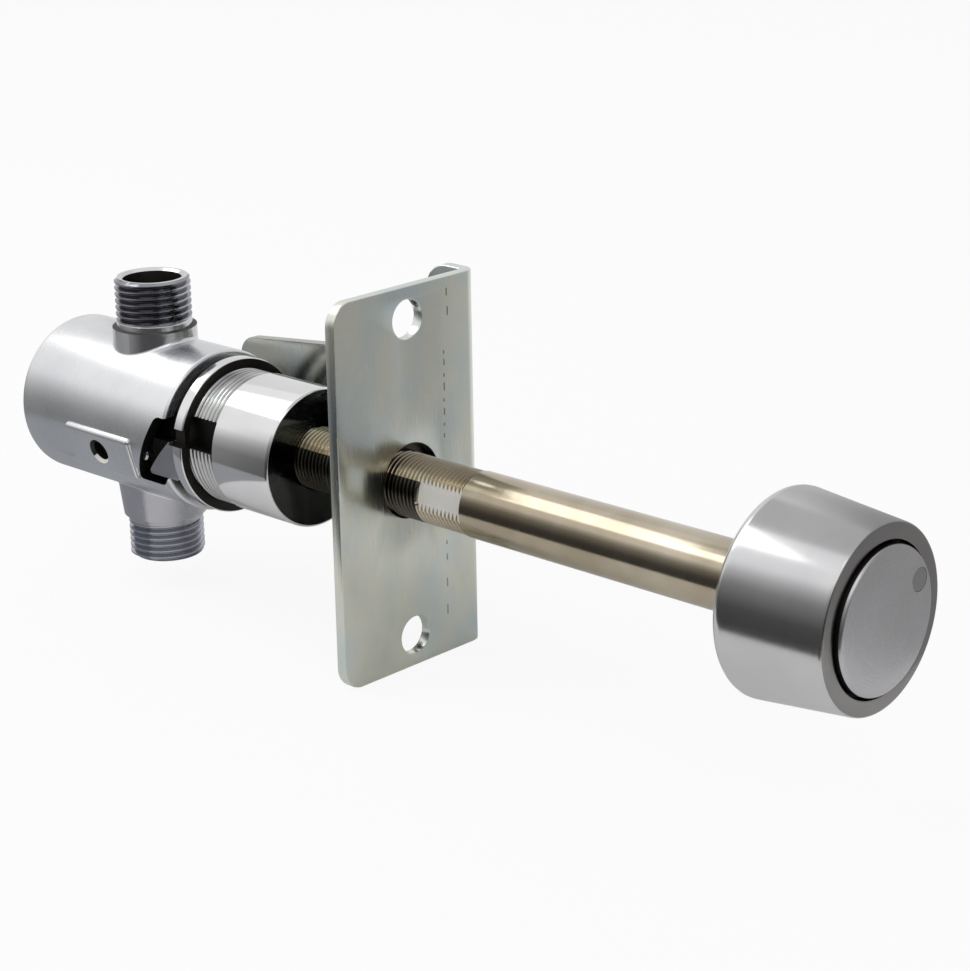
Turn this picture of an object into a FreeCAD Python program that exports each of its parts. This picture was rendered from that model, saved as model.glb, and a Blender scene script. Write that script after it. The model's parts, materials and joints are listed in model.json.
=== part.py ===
import FreeCAD, Part
import Sketcher
import math
import os
from types import SimpleNamespace

# A through-wall self-closing push tap, in millimetres.
# The tap's axis runs along Y. The front face of the wall plate is the plane Y = 0, its middle is the
# origin, and the tap hangs a little lower in the clearance hole of the plate.
# The push-button head stands in front of the wall, towards -Y. The valve body is behind it, towards +Y.
# Z is up. Threads are drawn as rings of the true pitch and depth, without their lead.

SIZES = {
    # Wall plate, a bent sheet that also holds the valve body from turning
    "wall_gap": (114.8, "plate front face to the rear rim of the head, the thickest wall"),
    "axis_drop": (1.1, "tap axis below the middle of the plate, within the clearance of its hole"),
    "plate_width": (50.8, "plate, side to side"),
    "plate_height": (101.0, "plate, bottom to top"),
    "sheet_thickness": (3.0, "sheet of the plate, its flange and its tab"),
    "plate_corner_radius": (6.0, "free corners of the plate"),
    "bend_inside_radius": (0.8, "inside of the bend"),
    "flange_depth": (15.5, "bent flange, front to rear"),
    "flange_corner_radius": (7.0, "rear corners of the flange"),
    "body_side_gap": (0.1, "gap between the flange and the side of the body barrel"),
    "tab_overlap": (17.5, "rear end of the tab behind the front of the body barrel"),
    "tab_root_half_height": (26.0, "half the tab's height where it leaves the flange"),
    "tab_end_half_height": (17.7, "half the tab's height at its rear end"),
    "tab_corner_radius": (6.0, "rear corners of the tab"),
    "tab_root_radius": (3.0, "inner corners between tab and flange"),
    "fixing_hole_radius": (5.05, "the two wall fixing holes"),
    "fixing_hole_inset": (8.35, "centre of each fixing hole to the end of the plate"),
    "tube_hole_clearance": (1.1, "plate hole around the plain tube, radial"),
    # Extension tube, three-eighths pipe with a pipe thread cut on both ends
    "tube_radius": (8.6, "outside of the tube"),
    "tube_bore_radius": (6.3, "bore of the tube"),
    "tube_thread_radius": (8.331, "crest of the tube's thread"),
    "tube_thread_depth": (0.856, "depth of the tube's thread"),
    "tube_thread_pitch": (1.337, "pitch of the tube's thread"),
    "tube_thread_reach": (24.0, "rear thread in front of the plate"),
    "tube_in_bonnet": (9.8, "tube end behind the bonnet front face"),
    "tube_flat_depth": (1.4, "depth of each spanner flat"),
    "tube_flat_length": (15.2, "length of the spanner flats"),
    "tube_flat_angle": (12.0, "flat normal above the -X side, degrees"),
    # Nut and washer that hold the plate against the wall
    "plate_washer_radius": (14.0, "outside of the plate washer"),
    "plate_washer_thickness": (1.5, "thickness of the plate washer"),
    "plate_nut_across_flats": (24.0, "hexagon nut, across flats"),
    "plate_nut_thickness": (5.5, "thickness of the nut"),
    # Bonnet, the turned sleeve that joins the tube to the valve body
    "bonnet_front": (34.2, "bonnet front face behind the plate front face"),
    "bonnet_radius": (18.75, "smooth outside of the bonnet"),
    "bonnet_smooth_length": (21.3, "smooth length before the thread"),
    "bonnet_length": (51.8, "bonnet, front to rear"),
    "bonnet_thread_radius": (18.4,"crest of the bonnet thread"),
    "bonnet_thread_depth": (0.92, "depth of the bonnet thread"),
    "bonnet_thread_pitch": (1.5, "pitch of the bonnet thread"),
    "keyway_bottom": (0.6, "lower edge of the groove along the bonnet thread above the axis"),
    "keyway_top": (9.0, "upper edge of that groove above the axis"),
    "keyway_depth": (3.0, "floor of that groove inside the thread crest"),
    "bonnet_front_wall": (6.0,"front wall that takes the tube"),
    "bonnet_front_cavity": (10.5, "radius of the space around the stem end"),
    "cartridge_depth": (30.0, "shoulder that holds the gland to the rear end of the bonnet"),
    "bonnet_edge_rounding": (0.8, "rounding of the bonnet front edge"),
    # Lock ring on the bonnet thread, with one tongue in the slot of the body
    "ring_gap": (3.4,"lock ring to the front of the body barrel"),
    "ring_thickness": (3.5, "lock ring, front to rear"),
    "ring_wall": (2.85,"wall of the lock ring around the bonnet thread"),
    "ring_rounding": (0.4, "rounding of the lock ring edges"),
    "tongue_front_top": (1.3, "upper edge of the tongue above the axis, at the ring"),
    "tongue_rear_top": (0.9, "upper edge of the tongue below the axis, at its end"),
    "tongue_front_bottom": (5.6, "lower edge of the tongue below the axis, at the ring"),
    "tongue_rear_bottom": (8.3, "lower edge of the tongue below the axis, at its end"),
    "tongue_lean": (1.9, "upper corner of the tongue's end in front of its lower corner"),
    "notch_top": (6.0, "upper edge of the spanner notch of the lock ring above the axis"),
    "notch_depth": (1.7, "depth of that notch, which lies beside the tongue"),
    "lock_screw_radius": (1.8, "screw in the bonnet wall behind the tongue"),
    "lock_screw_drop": (4.2, "axis of that screw below the tap axis"),
    "lock_screw_reach": (1.6, "screw end above the bonnet thread"),
    "lock_screw_play": (0.45, "gap between that screw and the tongue, and the end of the slot"),
    "lock_screw_socket": (0.8, "half the socket width of that screw, across flats"),
    "lock_screw_socket_depth": (1.6, "depth of that socket"),
    # Valve body, one brass casting with two male pipe ports
    "body_length": (61.4, "body barrel, front to rear"),
    "body_wall": (3.85,"wall of the barrel around the bonnet thread"),
    "body_rear_rounding": (2.0, "rounding of the closed rear end"),
    "body_front_rounding": (0.8, "rounding of the front edge around the mouth"),
    "body_rear_wall": (4.8, "thickness of the closed rear end"),
    "mouth_depth": (16.0, "threaded mouth of the body"),
    "gallery_radius": (15.5, "outlet gallery around the cartridge"),
    "gallery_length": (12.6, "outlet gallery, front to rear"),
    "web_length": (3.0, "web between outlet gallery and inlet chamber"),
    "chamber_wall": (4.3, "wall of the barrel around the inlet chamber"),
    "body_saddle_rounding": (1.6, "rounding between barrel and ports"),
    "slot_shoulder": (1.0, "end of the tongue's slot in front of the rear end of the bonnet"),
    "slot_front_top": (6.6, "upper edge of the slot above the axis, at the mouth"),
    "slot_rear_top": (3.2, "upper edge of the slot above the axis, at its end"),
    "slot_front_bottom": (7.2, "lower edge of the slot below the axis, at the mouth"),
    "slot_rear_bottom": (10.8, "lower edge of the slot below the axis, at its end"),
    "slot_lean": (0.5,"upper corner of the slot's end in front of its lower corner"),
    "slot_corner_radius": (1.5, "corners of the slot"),
    # Ports, half-inch pipe thread, inlet below and outlet above
    "port_lead": (1.5, "port axis in front of the web"),
    "port_thread_radius": (10.4775, "crest of the port threads"),
    "port_thread_depth": (1.162, "depth of the port threads"),
    "port_thread_pitch": (1.814, "pitch of the port threads"),
    "port_land": (2.4, "unthreaded land of full diameter behind the thread"),
    "port_collar_radius": (11.65, "collar behind the thread"),
    "outlet_end": (39.1, "axis to the end face of the outlet"),
    "outlet_thread_length": (13.9, "land and thread of the outlet"),
    "outlet_collar_base": (11.65, "outlet collar where it meets the barrel"),
    "inlet_end": (41.0, "axis to the end face of the inlet"),
    "inlet_thread_length": (12.2, "land and thread of the inlet"),
    "inlet_collar_base": (12.9, "inlet collar where it meets the barrel"),
    "port_bore_radius": (8.1, "bore of the ports"),
    "port_mouth_widening": (0.65, "countersunk mouth of the ports, radial"),
    "port_bore_floor": (23.0, "axis to the floor of the port bores"),
    "port_collar_start": (18.0, "axis to the straight foot of the collars"),
    "port_tip_chamfer": (0.6, "chamfer at the end of the port threads"),
    "passage_radius": (2.6, "drilled passages from the ports to gallery and chamber"),
    "passage_offset": (5.4, "passage axes before and behind the port axis"),
    # Pad on the side of the body with the flow regulator
    "pad_proud": (0.7, "face of the pad outside the barrel"),
    "pad_half_width": (6.2, "half the width of the pad"),
    "pad_lead": (14.1, "front end of the pad in front of the port axis"),
    "pad_length": (27.5, "pad, front to rear"),
    "pad_chamfer": (1.2, "chamfer of the pad's long edges"),
    "pad_angle": (16.0, "pad normal below the -X side, degrees"),
    "regulator_bore_radius": (2.5, "bore for the regulator spindle"),
    "regulator_mouth_step": (0.4, "wider mouth of the bore, takes the retaining ring, radial"),
    "regulator_mouth_depth": (3.8, "depth of that mouth"),
    "regulator_mouth_chamfer": (0.35, "chamfer of the mouth"),
    "regulator_tip_gap": (0.9, "inner end of the spindle outside the bore of the cartridge"),
    "regulator_tip_length": (2.2, "half-round baffle at the inner end"),
    "regulator_head_length": (1.4, "slotted head of the spindle"),
    "regulator_slot_width": (0.8, "width of the screwdriver slot"),
    "regulator_slot_depth": (0.8, "depth of the screwdriver slot"),
    "regulator_ring_bore": (1.6, "opening of the retaining ring"),
    "regulator_ring_thickness": (1.2, "thickness of the retaining ring"),
    # Cartridge and moving valve
    "cartridge_bore_radius": (13.0, "bore of bonnet and web around the cartridge"),
    "gland_thickness": (6.0, "brass gland in front of the timing chamber"),
    "timing_wall": (2.2, "wall of the cartridge around the piston"),
    "partition_thickness": (4.0, "wall behind the timing chamber"),
    "housing_flange_radius": (17.8,"flange clamped between bonnet and body"),
    "housing_flange_thickness": (2.0, "thickness of that flange"),
    "outlet_wall": (3.2, "wall of the outlet part of the cartridge"),
    "window_width": (5.0, "outlet windows of the cartridge, across"),
    "window_length": (6.0, "outlet windows of the cartridge, along"),
    "window_inset": (2.5, "outlet windows behind the flange"),
    "housing_seal_inset": (2.5, "front seal of the cartridge behind its front face"),
    "seat_radius": (6.0, "opening of the valve seat"),
    "seat_thickness": (3.4, "seat wall at the rear of the cartridge"),
    "seat_lip": (0.6, "raised lip of the seat"),
    "stem_radius": (3.5, "valve stem"),
    "stem_step": (1.0, "step down of the stem where the seat washer sits"),
    "stem_gap": (4.0, "front end of the stem behind the rear end of the tube"),
    "piston_thickness": (6.0, "piston, front to rear"),
    "lip_seal_width": (2.4, "groove and seal of the piston"),
    "lip_seal_depth": (1.8, "depth of that groove"),
    "washer_radius": (8.4, "rubber seat washer"),
    "washer_thickness": (3.0, "thickness of the seat washer"),
    "cup_thickness": (1.2, "cup behind the seat washer"),
    "stem_nut_radius": (5.0, "nut that holds the seat washer"),
    "stem_nut_thickness": (4.0, "thickness of that nut"),
    "strainer_gap": (4.6, "end of the inlet strainer to the closed end of the chamber"),
    "strainer_wall": (0.8, "wall of the strainer"),
    "strainer_hole_radius": (1.2, "holes of the strainer"),
    "strainer_hole_pitch": (3.1, "least distance between rows of strainer holes"),
    "needle_radius": (0.5, "cleaning needle through the piston"),
    "needle_offset": (4.9, "needle axis from the tap axis"),
    "travel": (5.0, "stroke of the button and of the valve"),
    # Push rod and its guides
    "rod_radius": (3.0, "push rod"),
    "rod_chamfer": (0.5, "chamfer of the rod ends"),
    "rod_play": (0.3, "gap between the rod and the stem at rest"),
    "guide_length": (10.0, "each rod guide"),
    "guide_inset": (1.0, "guides inside the tube ends"),
    # Head with its push button
    "head_length": (28.6, "casing, rear rim to front rim"),
    "head_rear_radius": (25.0, "casing at its rear rim"),
    "head_front_radius": (22.1, "casing at its front rim"),
    "head_rear_rounding": (3.0, "rounding of the rear rim"),
    "head_front_rounding": (1.0, "rounding of the front rim"),
    "button_gap": (0.7, "opening of the head around the button, radial"),
    "head_lip_thickness": (2.0, "front lip that holds the button in"),
    "head_lip_overlap": (1.25, "lip in front of the button's flange, radial"),
    "hub_step": (0.95, "threaded hub in the casing, outside the bore for the flange, radial"),
    "hub_thickness": (5.0, "flange of the hub"),
    "hub_boss_radius": (12.0, "boss of the hub around the tube"),
    "hub_boss_length": (9.2, "boss in front of the flange"),
    "hub_end_wall": (2.5, "front wall of the boss"),
    "gasket_thickness": (1.5, "wall gasket, flush with the rear rim"),
    "set_screw_radius": (2.0, "set screw that locks casing, hub and tube"),
    "set_screw_sink": (1.0, "set screw end below the casing surface"),
    "set_screw_station": (4.0, "set screw axis in front of the rear rim"),
    "set_screw_socket": (1.0, "half the socket width, across flats"),
    "set_screw_socket_depth": (2.0, "depth of the socket"),
    "button_radius": (17.3, "push button"),
    "button_proud": (1.6, "button face in front of the rim"),
    "button_face_thickness": (3.0, "front wall of the button"),
    "button_skirt_wall": (1.9, "skirt of the button"),
    "button_flange_thickness": (2.5, "flange behind the lip"),
    "button_edge_rounding": (1.0, "rounding of the button face"),
    "marker_radius": (2.8, "inset marker disc in the button face"),
    "marker_depth": (0.6, "depth of the marker disc"),
    "marker_distance": (13.4, "marker centre from the axis"),
    "marker_angle": (29.0, "marker direction above the +X side, degrees"),
    "pad_disc_radius": (4.0, "thrust pad between button and rod"),
    "pad_disc_thickness": (2.0, "thickness of the thrust pad"),
    # Springs
    "button_spring_radius": (13.7, "mean coil radius of the button spring"),
    "button_spring_wire": (0.5, "wire radius of the button spring"),
    "button_spring_turns": (6.0, "turns of the button spring"),
    "return_spring_radius": (7.3, "mean coil radius of the return spring"),
    "return_spring_wire": (0.6, "wire radius of the return spring"),
    "return_spring_turns": (4.0, "turns of the return spring"),
    "return_spring_pressed": (7.0, "length of the return spring with the button pressed"),
    # Fits
    "thread_clearance": (0.05, "radial gap of every screwed or seated fit"),
    "running_clearance": (0.05, "radial gap of every sliding or turning fit"),
    "free_clearance": (0.3, "gap between faces that must not touch"),
    "ring_section": (0.85, "section radius of the stem and housing seals"),
    "small_ring_section": (0.5, "section radius of the regulator seal"),
}

AXIS_X = FreeCAD.Vector(1, 0, 0)
AXIS_Y = FreeCAD.Vector(0, 1, 0)
BACKWARD = (AXIS_X, -90)
FORWARD = (AXIS_X, 90)
UPWARD = (AXIS_X, 0)
DOWNWARD = (AXIS_X, 180)
EDGE_TOLERANCE = 0.02
CREST_SHARE = 0.25
THREAD_RUN = 13
HEXAGON_SIDES = 6

os.makedirs("parts", exist_ok=True)
doc = FreeCAD.newDocument("basin_tap")
sheet = doc.addObject("Spreadsheet::Sheet", "Sizes")


class Size:
    """A number that keeps the sheet expression it comes from."""

    def __init__(self, value, text):
        self.value = value
        self.text = text

    def __add__(self, other):
        other = as_size(other)
        return Size(self.value + other.value, f"({self.text} + {other.text})")

    def __sub__(self, other):
        other = as_size(other)
        return Size(self.value - other.value, f"({self.text} - {other.text})")

    def __mul__(self, other):
        other = as_size(other)
        return Size(self.value * other.value, f"({self.text} * {other.text})")

    def __truediv__(self, other):
        other = as_size(other)
        return Size(self.value / other.value, f"({self.text} / {other.text})")

    def __neg__(self):
        return Size(-self.value, f"(0 - {self.text})")

    __radd__ = __add__
    __rmul__ = __mul__

    def __rsub__(self, other):
        return as_size(other) - self


def as_size(number):
    return number if isinstance(number, Size) else Size(float(number), f"({float(number)})")


def cosine(angle):
    return Size(math.cos(math.radians(angle.value)), f"cos({angle.text})")


def sine(angle):
    return Size(math.sin(math.radians(angle.value)), f"sin({angle.text})")


def fill_sheet():
    """Writes one row for each driving size and returns them by name."""
    named = {}
    for row, (name, (value, meaning)) in enumerate(SIZES.items(), start=1):
        sheet.set(f"A{row}", name)
        sheet.set(f"B{row}", str(value))
        sheet.set(f"C{row}", meaning)
        sheet.setAlias(f"B{row}", name)
        named[name] = Size(value, f"Sizes.{name}")
    return SimpleNamespace(**named)


size = fill_sheet()
doc.recompute()


def bind(thing, path, value):
    thing.setExpression(path, as_size(value).text)


def place(thing, x=0, y=0, z=0, turn=BACKWARD):
    """Puts a piece at a point off the tap axis, its own Z axis turned to the given direction."""
    spot = [as_size(part) for part in (x, y, z - size.axis_drop)]
    base = FreeCAD.Vector(*(part.value for part in spot))
    thing.Placement = FreeCAD.Placement(base, FreeCAD.Rotation(turn[0], as_size(turn[1]).value))
    for axis, part in zip("xyz", spot):
        bind(thing, f"Placement.Base.{axis}", part)
    if isinstance(turn[1], Size):
        bind(thing, "Placement.Rotation.Angle", turn[1])
    return thing


def new_sketch(body, name, role, offset=0):
    sketch = body.newObject("Sketcher::SketchObject", name)
    plane = next(part for part in body.Origin.OriginFeatures if part.Role == role)
    sketch.AttachmentSupport = [(plane, "")]
    sketch.MapMode = "FlatFace"
    offset = as_size(offset)
    if offset.value:
        sketch.AttachmentOffset = FreeCAD.Placement(FreeCAD.Vector(0, 0, offset.value), FreeCAD.Rotation())
        bind(sketch, "AttachmentOffset.Base.z", offset)
    return sketch


def anchor(number, end, across, along):
    """Constraints that hold one point of a sketch, with the sizes they stand for."""
    rules = []
    for kind, axis, part in (("DistanceX", -2, across), ("DistanceY", -1, along)):
        if part.value:
            rules.append((Sketcher.Constraint(kind, -1, 1, number, end, part.value), part))
        else:
            rules.append((Sketcher.Constraint("PointOnObject", number, end, axis), None))
    return rules


def constrain(sketch, rules):
    """Adds the constraints in one go and binds each size to its own."""
    numbers = sketch.addConstraint([rule for rule, part in rules])
    for number, (rule, part) in zip(numbers, rules):
        if part is not None:
            bind(sketch, f"Constraints[{number}]", part)


def draw_outline(sketch, points):
    """Draws a closed outline of straight lines, every corner bound to the sheet."""
    corners = [(as_size(across), as_size(along)) for across, along in points]
    spots = [FreeCAD.Vector(across.value, along.value, 0) for across, along in corners]
    count = len(spots)
    sketch.addGeometry([Part.LineSegment(spots[k], spots[(k + 1) % count]) for k in range(count)], False)
    rules = [(Sketcher.Constraint("Coincident", k, 2, (k + 1) % count, 1), None) for k in range(count)]
    for k, (across, along) in enumerate(corners):
        rules += anchor(k, 1, across, along)
    constrain(sketch, rules)


def draw_circle(sketch, across, along, radius):
    across, along, radius = as_size(across), as_size(along), as_size(radius)
    centre = FreeCAD.Vector(across.value, along.value, 0)
    ring = sketch.addGeometry(Part.Circle(centre, FreeCAD.Vector(0, 0, 1), radius.value), False)
    rules = anchor(ring, 3, across, along)
    rules.append((Sketcher.Constraint("Radius", ring, radius.value), radius))
    constrain(sketch, rules)


def turned(label, profile):
    """A piece turned about its own Z axis from (radius, height) corners."""
    body = doc.addObject("PartDesign::Body", label)
    sketch = new_sketch(body, label + "_profile", "XZ_Plane")
    draw_outline(sketch, profile)
    turning = body.newObject("PartDesign::Revolution", label + "_turning")
    turning.Profile = sketch
    turning.ReferenceAxis = (sketch, ["V_Axis"])
    turning.Angle = 360
    return body


def prism(label, role, outline, length, offset=0, reverse=False):
    """A piece of one outline, padded from an origin plane of its own."""
    body = doc.addObject("PartDesign::Body", label)
    sketch = new_sketch(body, label + "_outline", role, offset)
    draw_outline(sketch, outline)
    pad = body.newObject("PartDesign::Pad", label + "_pad")
    pad.Profile = sketch
    pad.Reversed = reverse
    bind(pad, "Length", length)
    return body


def drill(body, name, circles, role="XZ_Plane", reverse=False, offset=0):
    """Cuts round holes right through a body from one of its origin planes."""
    sketch = new_sketch(body, name + "_centres", role, offset)
    for across, along, radius in circles:
        draw_circle(sketch, across, along, radius)
    pocket = body.newObject("PartDesign::Pocket", name)
    pocket.Profile = sketch
    pocket.Type = "ThroughAll"
    pocket.Reversed = reverse
    return pocket


def soften(body, kind, name, wanted, amount):
    """Rounds or chamfers the edges of a body that the test picks."""
    doc.recompute()
    base = body.Tip
    names = [f"Edge{k}" for k, edge in enumerate(base.Shape.Edges, start=1) if wanted(edge)]
    dressing = body.newObject("PartDesign::" + kind, name)
    dressing.Base = (base, names)
    bind(dressing, "Radius" if kind == "Fillet" else "Size", amount)
    return dressing


def ring_edge(radius, height):
    """Test for a circular edge of a turned piece."""
    def wanted(edge):
        curve = edge.Curve
        if not isinstance(curve, Part.Circle):
            return False
        same_radius = abs(curve.Radius - as_size(radius).value) < EDGE_TOLERANCE
        return same_radius and abs(curve.Center.z - as_size(height).value) < EDGE_TOLERANCE
    return wanted


def line_edge(**place_of):
    """Test for a straight edge held at the given coordinates, on either side of the axis."""
    def wanted(edge):
        if not isinstance(edge.Curve, Part.Line):
            return False
        for axis, value in place_of.items():
            first, last = (getattr(corner.Point, axis) for corner in edge.Vertexes)
            if abs(first - last) > EDGE_TOLERANCE or abs(abs(first) - abs(as_size(value).value)) > EDGE_TOLERANCE:
                return False
        return True
    return wanted


def cylinder(label, radius, length):
    thing = doc.addObject("Part::Cylinder", label)
    bind(thing, "Radius", radius)
    bind(thing, "Height", length)
    return thing


def block(label, length, width, height):
    thing = doc.addObject("Part::Box", label)
    bind(thing, "Length", length)
    bind(thing, "Width", width)
    bind(thing, "Height", height)
    return thing


def torus(label, radius, section):
    thing = doc.addObject("Part::Torus", label)
    bind(thing, "Radius1", radius)
    bind(thing, "Radius2", section)
    return thing


def joined(label, pieces):
    thing = doc.addObject("Part::MultiFuse", label)
    thing.Shapes = pieces
    return thing


def cut(label, base, tools):
    """A base less its tools, which are fused into one tool where there are several."""
    tool = tools[0] if len(tools) == 1 else joined(label + "_cutters", tools)
    thing = doc.addObject("Part::Cut", label)
    thing.Base = base
    thing.Tool = tool
    return thing


def thread_corners(crest, depth, pitch, start, turns):
    """Corners of a row of V grooves, from start on, as (radius, height)."""
    corners = []
    for turn in range(turns):
        low = start + pitch * turn
        corners.append((crest, low))
        corners.append((crest - depth, low + pitch * ((1 - CREST_SHARE) / 2)))
        corners.append((crest, low + pitch * (1 - CREST_SHARE)))
    return corners


def whole_turns(length, pitch):
    return max(1, int(length.value / pitch.value))


def arc_from(start, direction, end):
    """The arc from start to end that leaves start in the given direction."""
    chord = end - start
    side = chord - direction * chord.dot(direction)
    centre = start + side * (chord.dot(chord) / (2 * chord.dot(side)))
    outwards = ((start + end) * 0.5 - centre).normalize()
    return Part.Arc(start, centre + outwards * (start - centre).Length, end).toShape()


def coil(label, radius, wire, length, turns, station):
    """A coil spring of one round wire along the tap axis, its ends inside the given length."""
    mean = radius.value
    lead = (length - wire * 2).value / turns.value / math.tau

    def point(angle):
        return FreeCAD.Vector(mean * math.cos(angle), mean * math.sin(angle), lead * angle)

    def heading(angle):
        return FreeCAD.Vector(-mean * math.sin(angle), mean * math.cos(angle), lead).normalize()

    arcs = []
    for half in range(round(turns.value * 2)):
        low, high = math.pi * half, math.pi * (half + 1)
        start, end = point(low), point(high)
        leaving, arriving = heading(low), heading(high)
        chord = end - start
        along = chord.dot(leaving + arriving)
        spread = 2 * (1 - leaving.dot(arriving))
        reach = (math.sqrt(along ** 2 + spread * chord.dot(chord)) - along) / spread
        middle = (start + end + (leaving - arriving) * reach) * 0.5
        arcs.append(arc_from(start, leaving, middle))
        arcs.append(arc_from(middle, (middle - start - leaving * reach).normalize(), end))
    pipe = Part.BRepOffsetAPI.MakePipeShell(Part.Wire(arcs))
    pipe.add(Part.Wire(Part.Circle(point(0), heading(0), wire.value).toShape()))
    pipe.build()
    pipe.makeSolid()
    spring = doc.addObject("Part::Feature", label)
    spring.Shape = pipe.shape()
    return place(spring, y=station + wire)


nodes = []


def keep(thing, label=None):
    """Takes a finished piece into the list of nodes, under its own label."""
    if label:
        thing.Label = label
    nodes.append(thing)
    return thing


# Stations along the axis that several pieces share

bonnet_rear = size.bonnet_front + size.bonnet_length
shoulder_station = bonnet_rear - size.cartridge_depth
housing_front = shoulder_station + size.gland_thickness
gallery_front = bonnet_rear + size.housing_flange_thickness
partition_front = gallery_front - size.partition_thickness
piston_rear = partition_front - size.return_spring_pressed - size.travel
piston_front = piston_rear - size.piston_thickness
body_front = gallery_front - size.mouth_depth
web_front = gallery_front + size.gallery_length
port_station = web_front - size.port_lead
chamber_front = web_front + size.web_length
chamber_rear = body_front + size.body_length - size.body_rear_wall
slot_end = bonnet_rear - size.slot_shoulder
lock_screw_station = slot_end - size.lock_screw_play - size.lock_screw_radius
tongue_end = lock_screw_station - size.lock_screw_radius - size.lock_screw_play
ring_front = body_front - size.ring_gap - size.ring_thickness
seat_front = chamber_front - size.seat_lip
seat_rear = seat_front + size.seat_thickness
washer_front = seat_rear + size.seat_lip
washer_rear = washer_front + size.washer_thickness
hub_front = size.gasket_thickness + size.hub_thickness
boss_front = hub_front + size.hub_boss_length
tube_end = boss_front - size.hub_end_wall
tube_front = -(size.wall_gap + tube_end)
tube_rear = size.bonnet_front + size.tube_in_bonnet
stem_front = tube_rear + size.stem_gap
pad_turn = (AXIS_Y, -(size.pad_angle + 90))
lip_rear = size.head_length - size.head_lip_thickness
button_front = size.head_length + size.button_proud
button_inner = button_front - size.button_face_thickness
rod_front = button_inner - size.pad_disc_thickness

# Radii that several pieces share

hexagon_corner = as_size(1) / cosine(as_size(180 / HEXAGON_SIDES))
tube_hole_radius = size.tube_radius + size.tube_hole_clearance
tube_fit = size.tube_thread_radius + size.thread_clearance
mouth_radius = size.bonnet_thread_radius + size.thread_clearance
ring_radius = mouth_radius + size.ring_wall
body_radius = mouth_radius + size.body_wall
chamber_radius = body_radius - size.chamber_wall
pad_distance = body_radius + size.pad_proud
regulator_mouth_radius = size.regulator_bore_radius + size.regulator_mouth_step
regulator_tip = size.cartridge_bore_radius + size.regulator_tip_gap
cartridge_radius = size.cartridge_bore_radius - size.free_clearance
timing_bore_radius = cartridge_radius - size.timing_wall
opening_radius = size.button_radius + size.button_gap
cavity_radius = opening_radius + size.head_lip_overlap
hub_radius = cavity_radius + size.hub_step


def build_bracket():
    """Wall plate with its bent flange and the tab beside the valve body."""
    inner_face = body_radius + size.body_side_gap
    bent_side = inner_face + size.sheet_thickness
    free_side = bent_side - size.plate_width
    half_height = size.plate_height / 2
    tab_reach = body_front + size.tab_overlap
    body = prism(
        "mounting_bracket", "XY_Plane",
        [
            (free_side, 0), (bent_side, 0), (bent_side, size.flange_depth),
            (inner_face, size.flange_depth), (inner_face, size.sheet_thickness),
            (free_side, size.sheet_thickness),
        ],
        size.plate_height, offset=-half_height)
    outer_bend = size.bend_inside_radius + size.sheet_thickness

    def at_outer_bend(edge):
        return line_edge(x=bent_side, y=0)(edge) and edge.Vertexes[0].X > 0

    soften(body, "Fillet", "outer_bend", at_outer_bend, outer_bend)
    inner_corner = line_edge(x=inner_face, y=size.sheet_thickness)
    soften(body, "Fillet", "inner_bend", inner_corner, size.bend_inside_radius)

    def at_free_corner(edge):
        return line_edge(x=free_side, z=half_height)(edge) and edge.Vertexes[0].X < 0

    soften(body, "Fillet", "plate_corners", at_free_corner, size.plate_corner_radius)
    flange_corner = line_edge(y=size.flange_depth, z=half_height)
    soften(body, "Fillet", "flange_corners", flange_corner, size.flange_corner_radius)
    tab = new_sketch(body, "tab_outline", "YZ_Plane", inner_face)
    root = size.flange_depth - size.bend_inside_radius
    draw_outline(tab, [
        (root, -size.tab_root_half_height), (tab_reach, -size.tab_end_half_height),
        (tab_reach, size.tab_end_half_height), (root, size.tab_root_half_height),
    ])
    tab_pad = body.newObject("PartDesign::Pad", "tab")
    tab_pad.Profile = tab
    bind(tab_pad, "Length", size.sheet_thickness)
    tab_corner = line_edge(y=tab_reach, z=size.tab_end_half_height)
    soften(body, "Fillet", "tab_corners", tab_corner, size.tab_corner_radius)

    def at_tab_root(edge):
        if not isinstance(edge.Curve, Part.Line):
            return False
        ends = [corner.Point for corner in edge.Vertexes]
        on_flange = all(abs(end.y - size.flange_depth.value) < EDGE_TOLERANCE for end in ends)
        across = abs(ends[0].x - ends[1].x) > size.sheet_thickness.value / 2
        near_root = abs(abs(ends[0].z) - size.tab_root_half_height.value) < size.tab_root_radius.value
        return on_flange and across and near_root

    soften(body, "Fillet", "tab_root", at_tab_root, size.tab_root_radius)
    hole_height = half_height - size.fixing_hole_inset
    drill(body, "plate_holes", [
        (0, 0, tube_hole_radius),
        (0, hole_height, size.fixing_hole_radius),
        (0, -hole_height, size.fixing_hole_radius),
    ])
    return keep(body)


def build_plate_hardware():
    """Washer and thin hexagon nut behind the plate."""
    washer = turned("plate_washer", [
        (tube_fit, 0), (size.plate_washer_radius, 0),
        (size.plate_washer_radius, size.plate_washer_thickness), (tube_fit, size.plate_washer_thickness),
    ])
    keep(place(washer, y=size.sheet_thickness))
    hexagon = doc.addObject("Part::Prism", "plate_nut_hexagon")
    hexagon.Polygon = HEXAGON_SIDES
    bind(hexagon, "Circumradius", size.plate_nut_across_flats / 2 * hexagon_corner)
    bind(hexagon, "Height", size.plate_nut_thickness)
    nut_station = size.sheet_thickness + size.plate_washer_thickness
    place(hexagon, y=nut_station)
    bore = place(cylinder("plate_nut_bore", tube_fit, size.plate_nut_thickness), y=nut_station)
    keep(cut("plate_nut", hexagon, [bore]))


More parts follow.
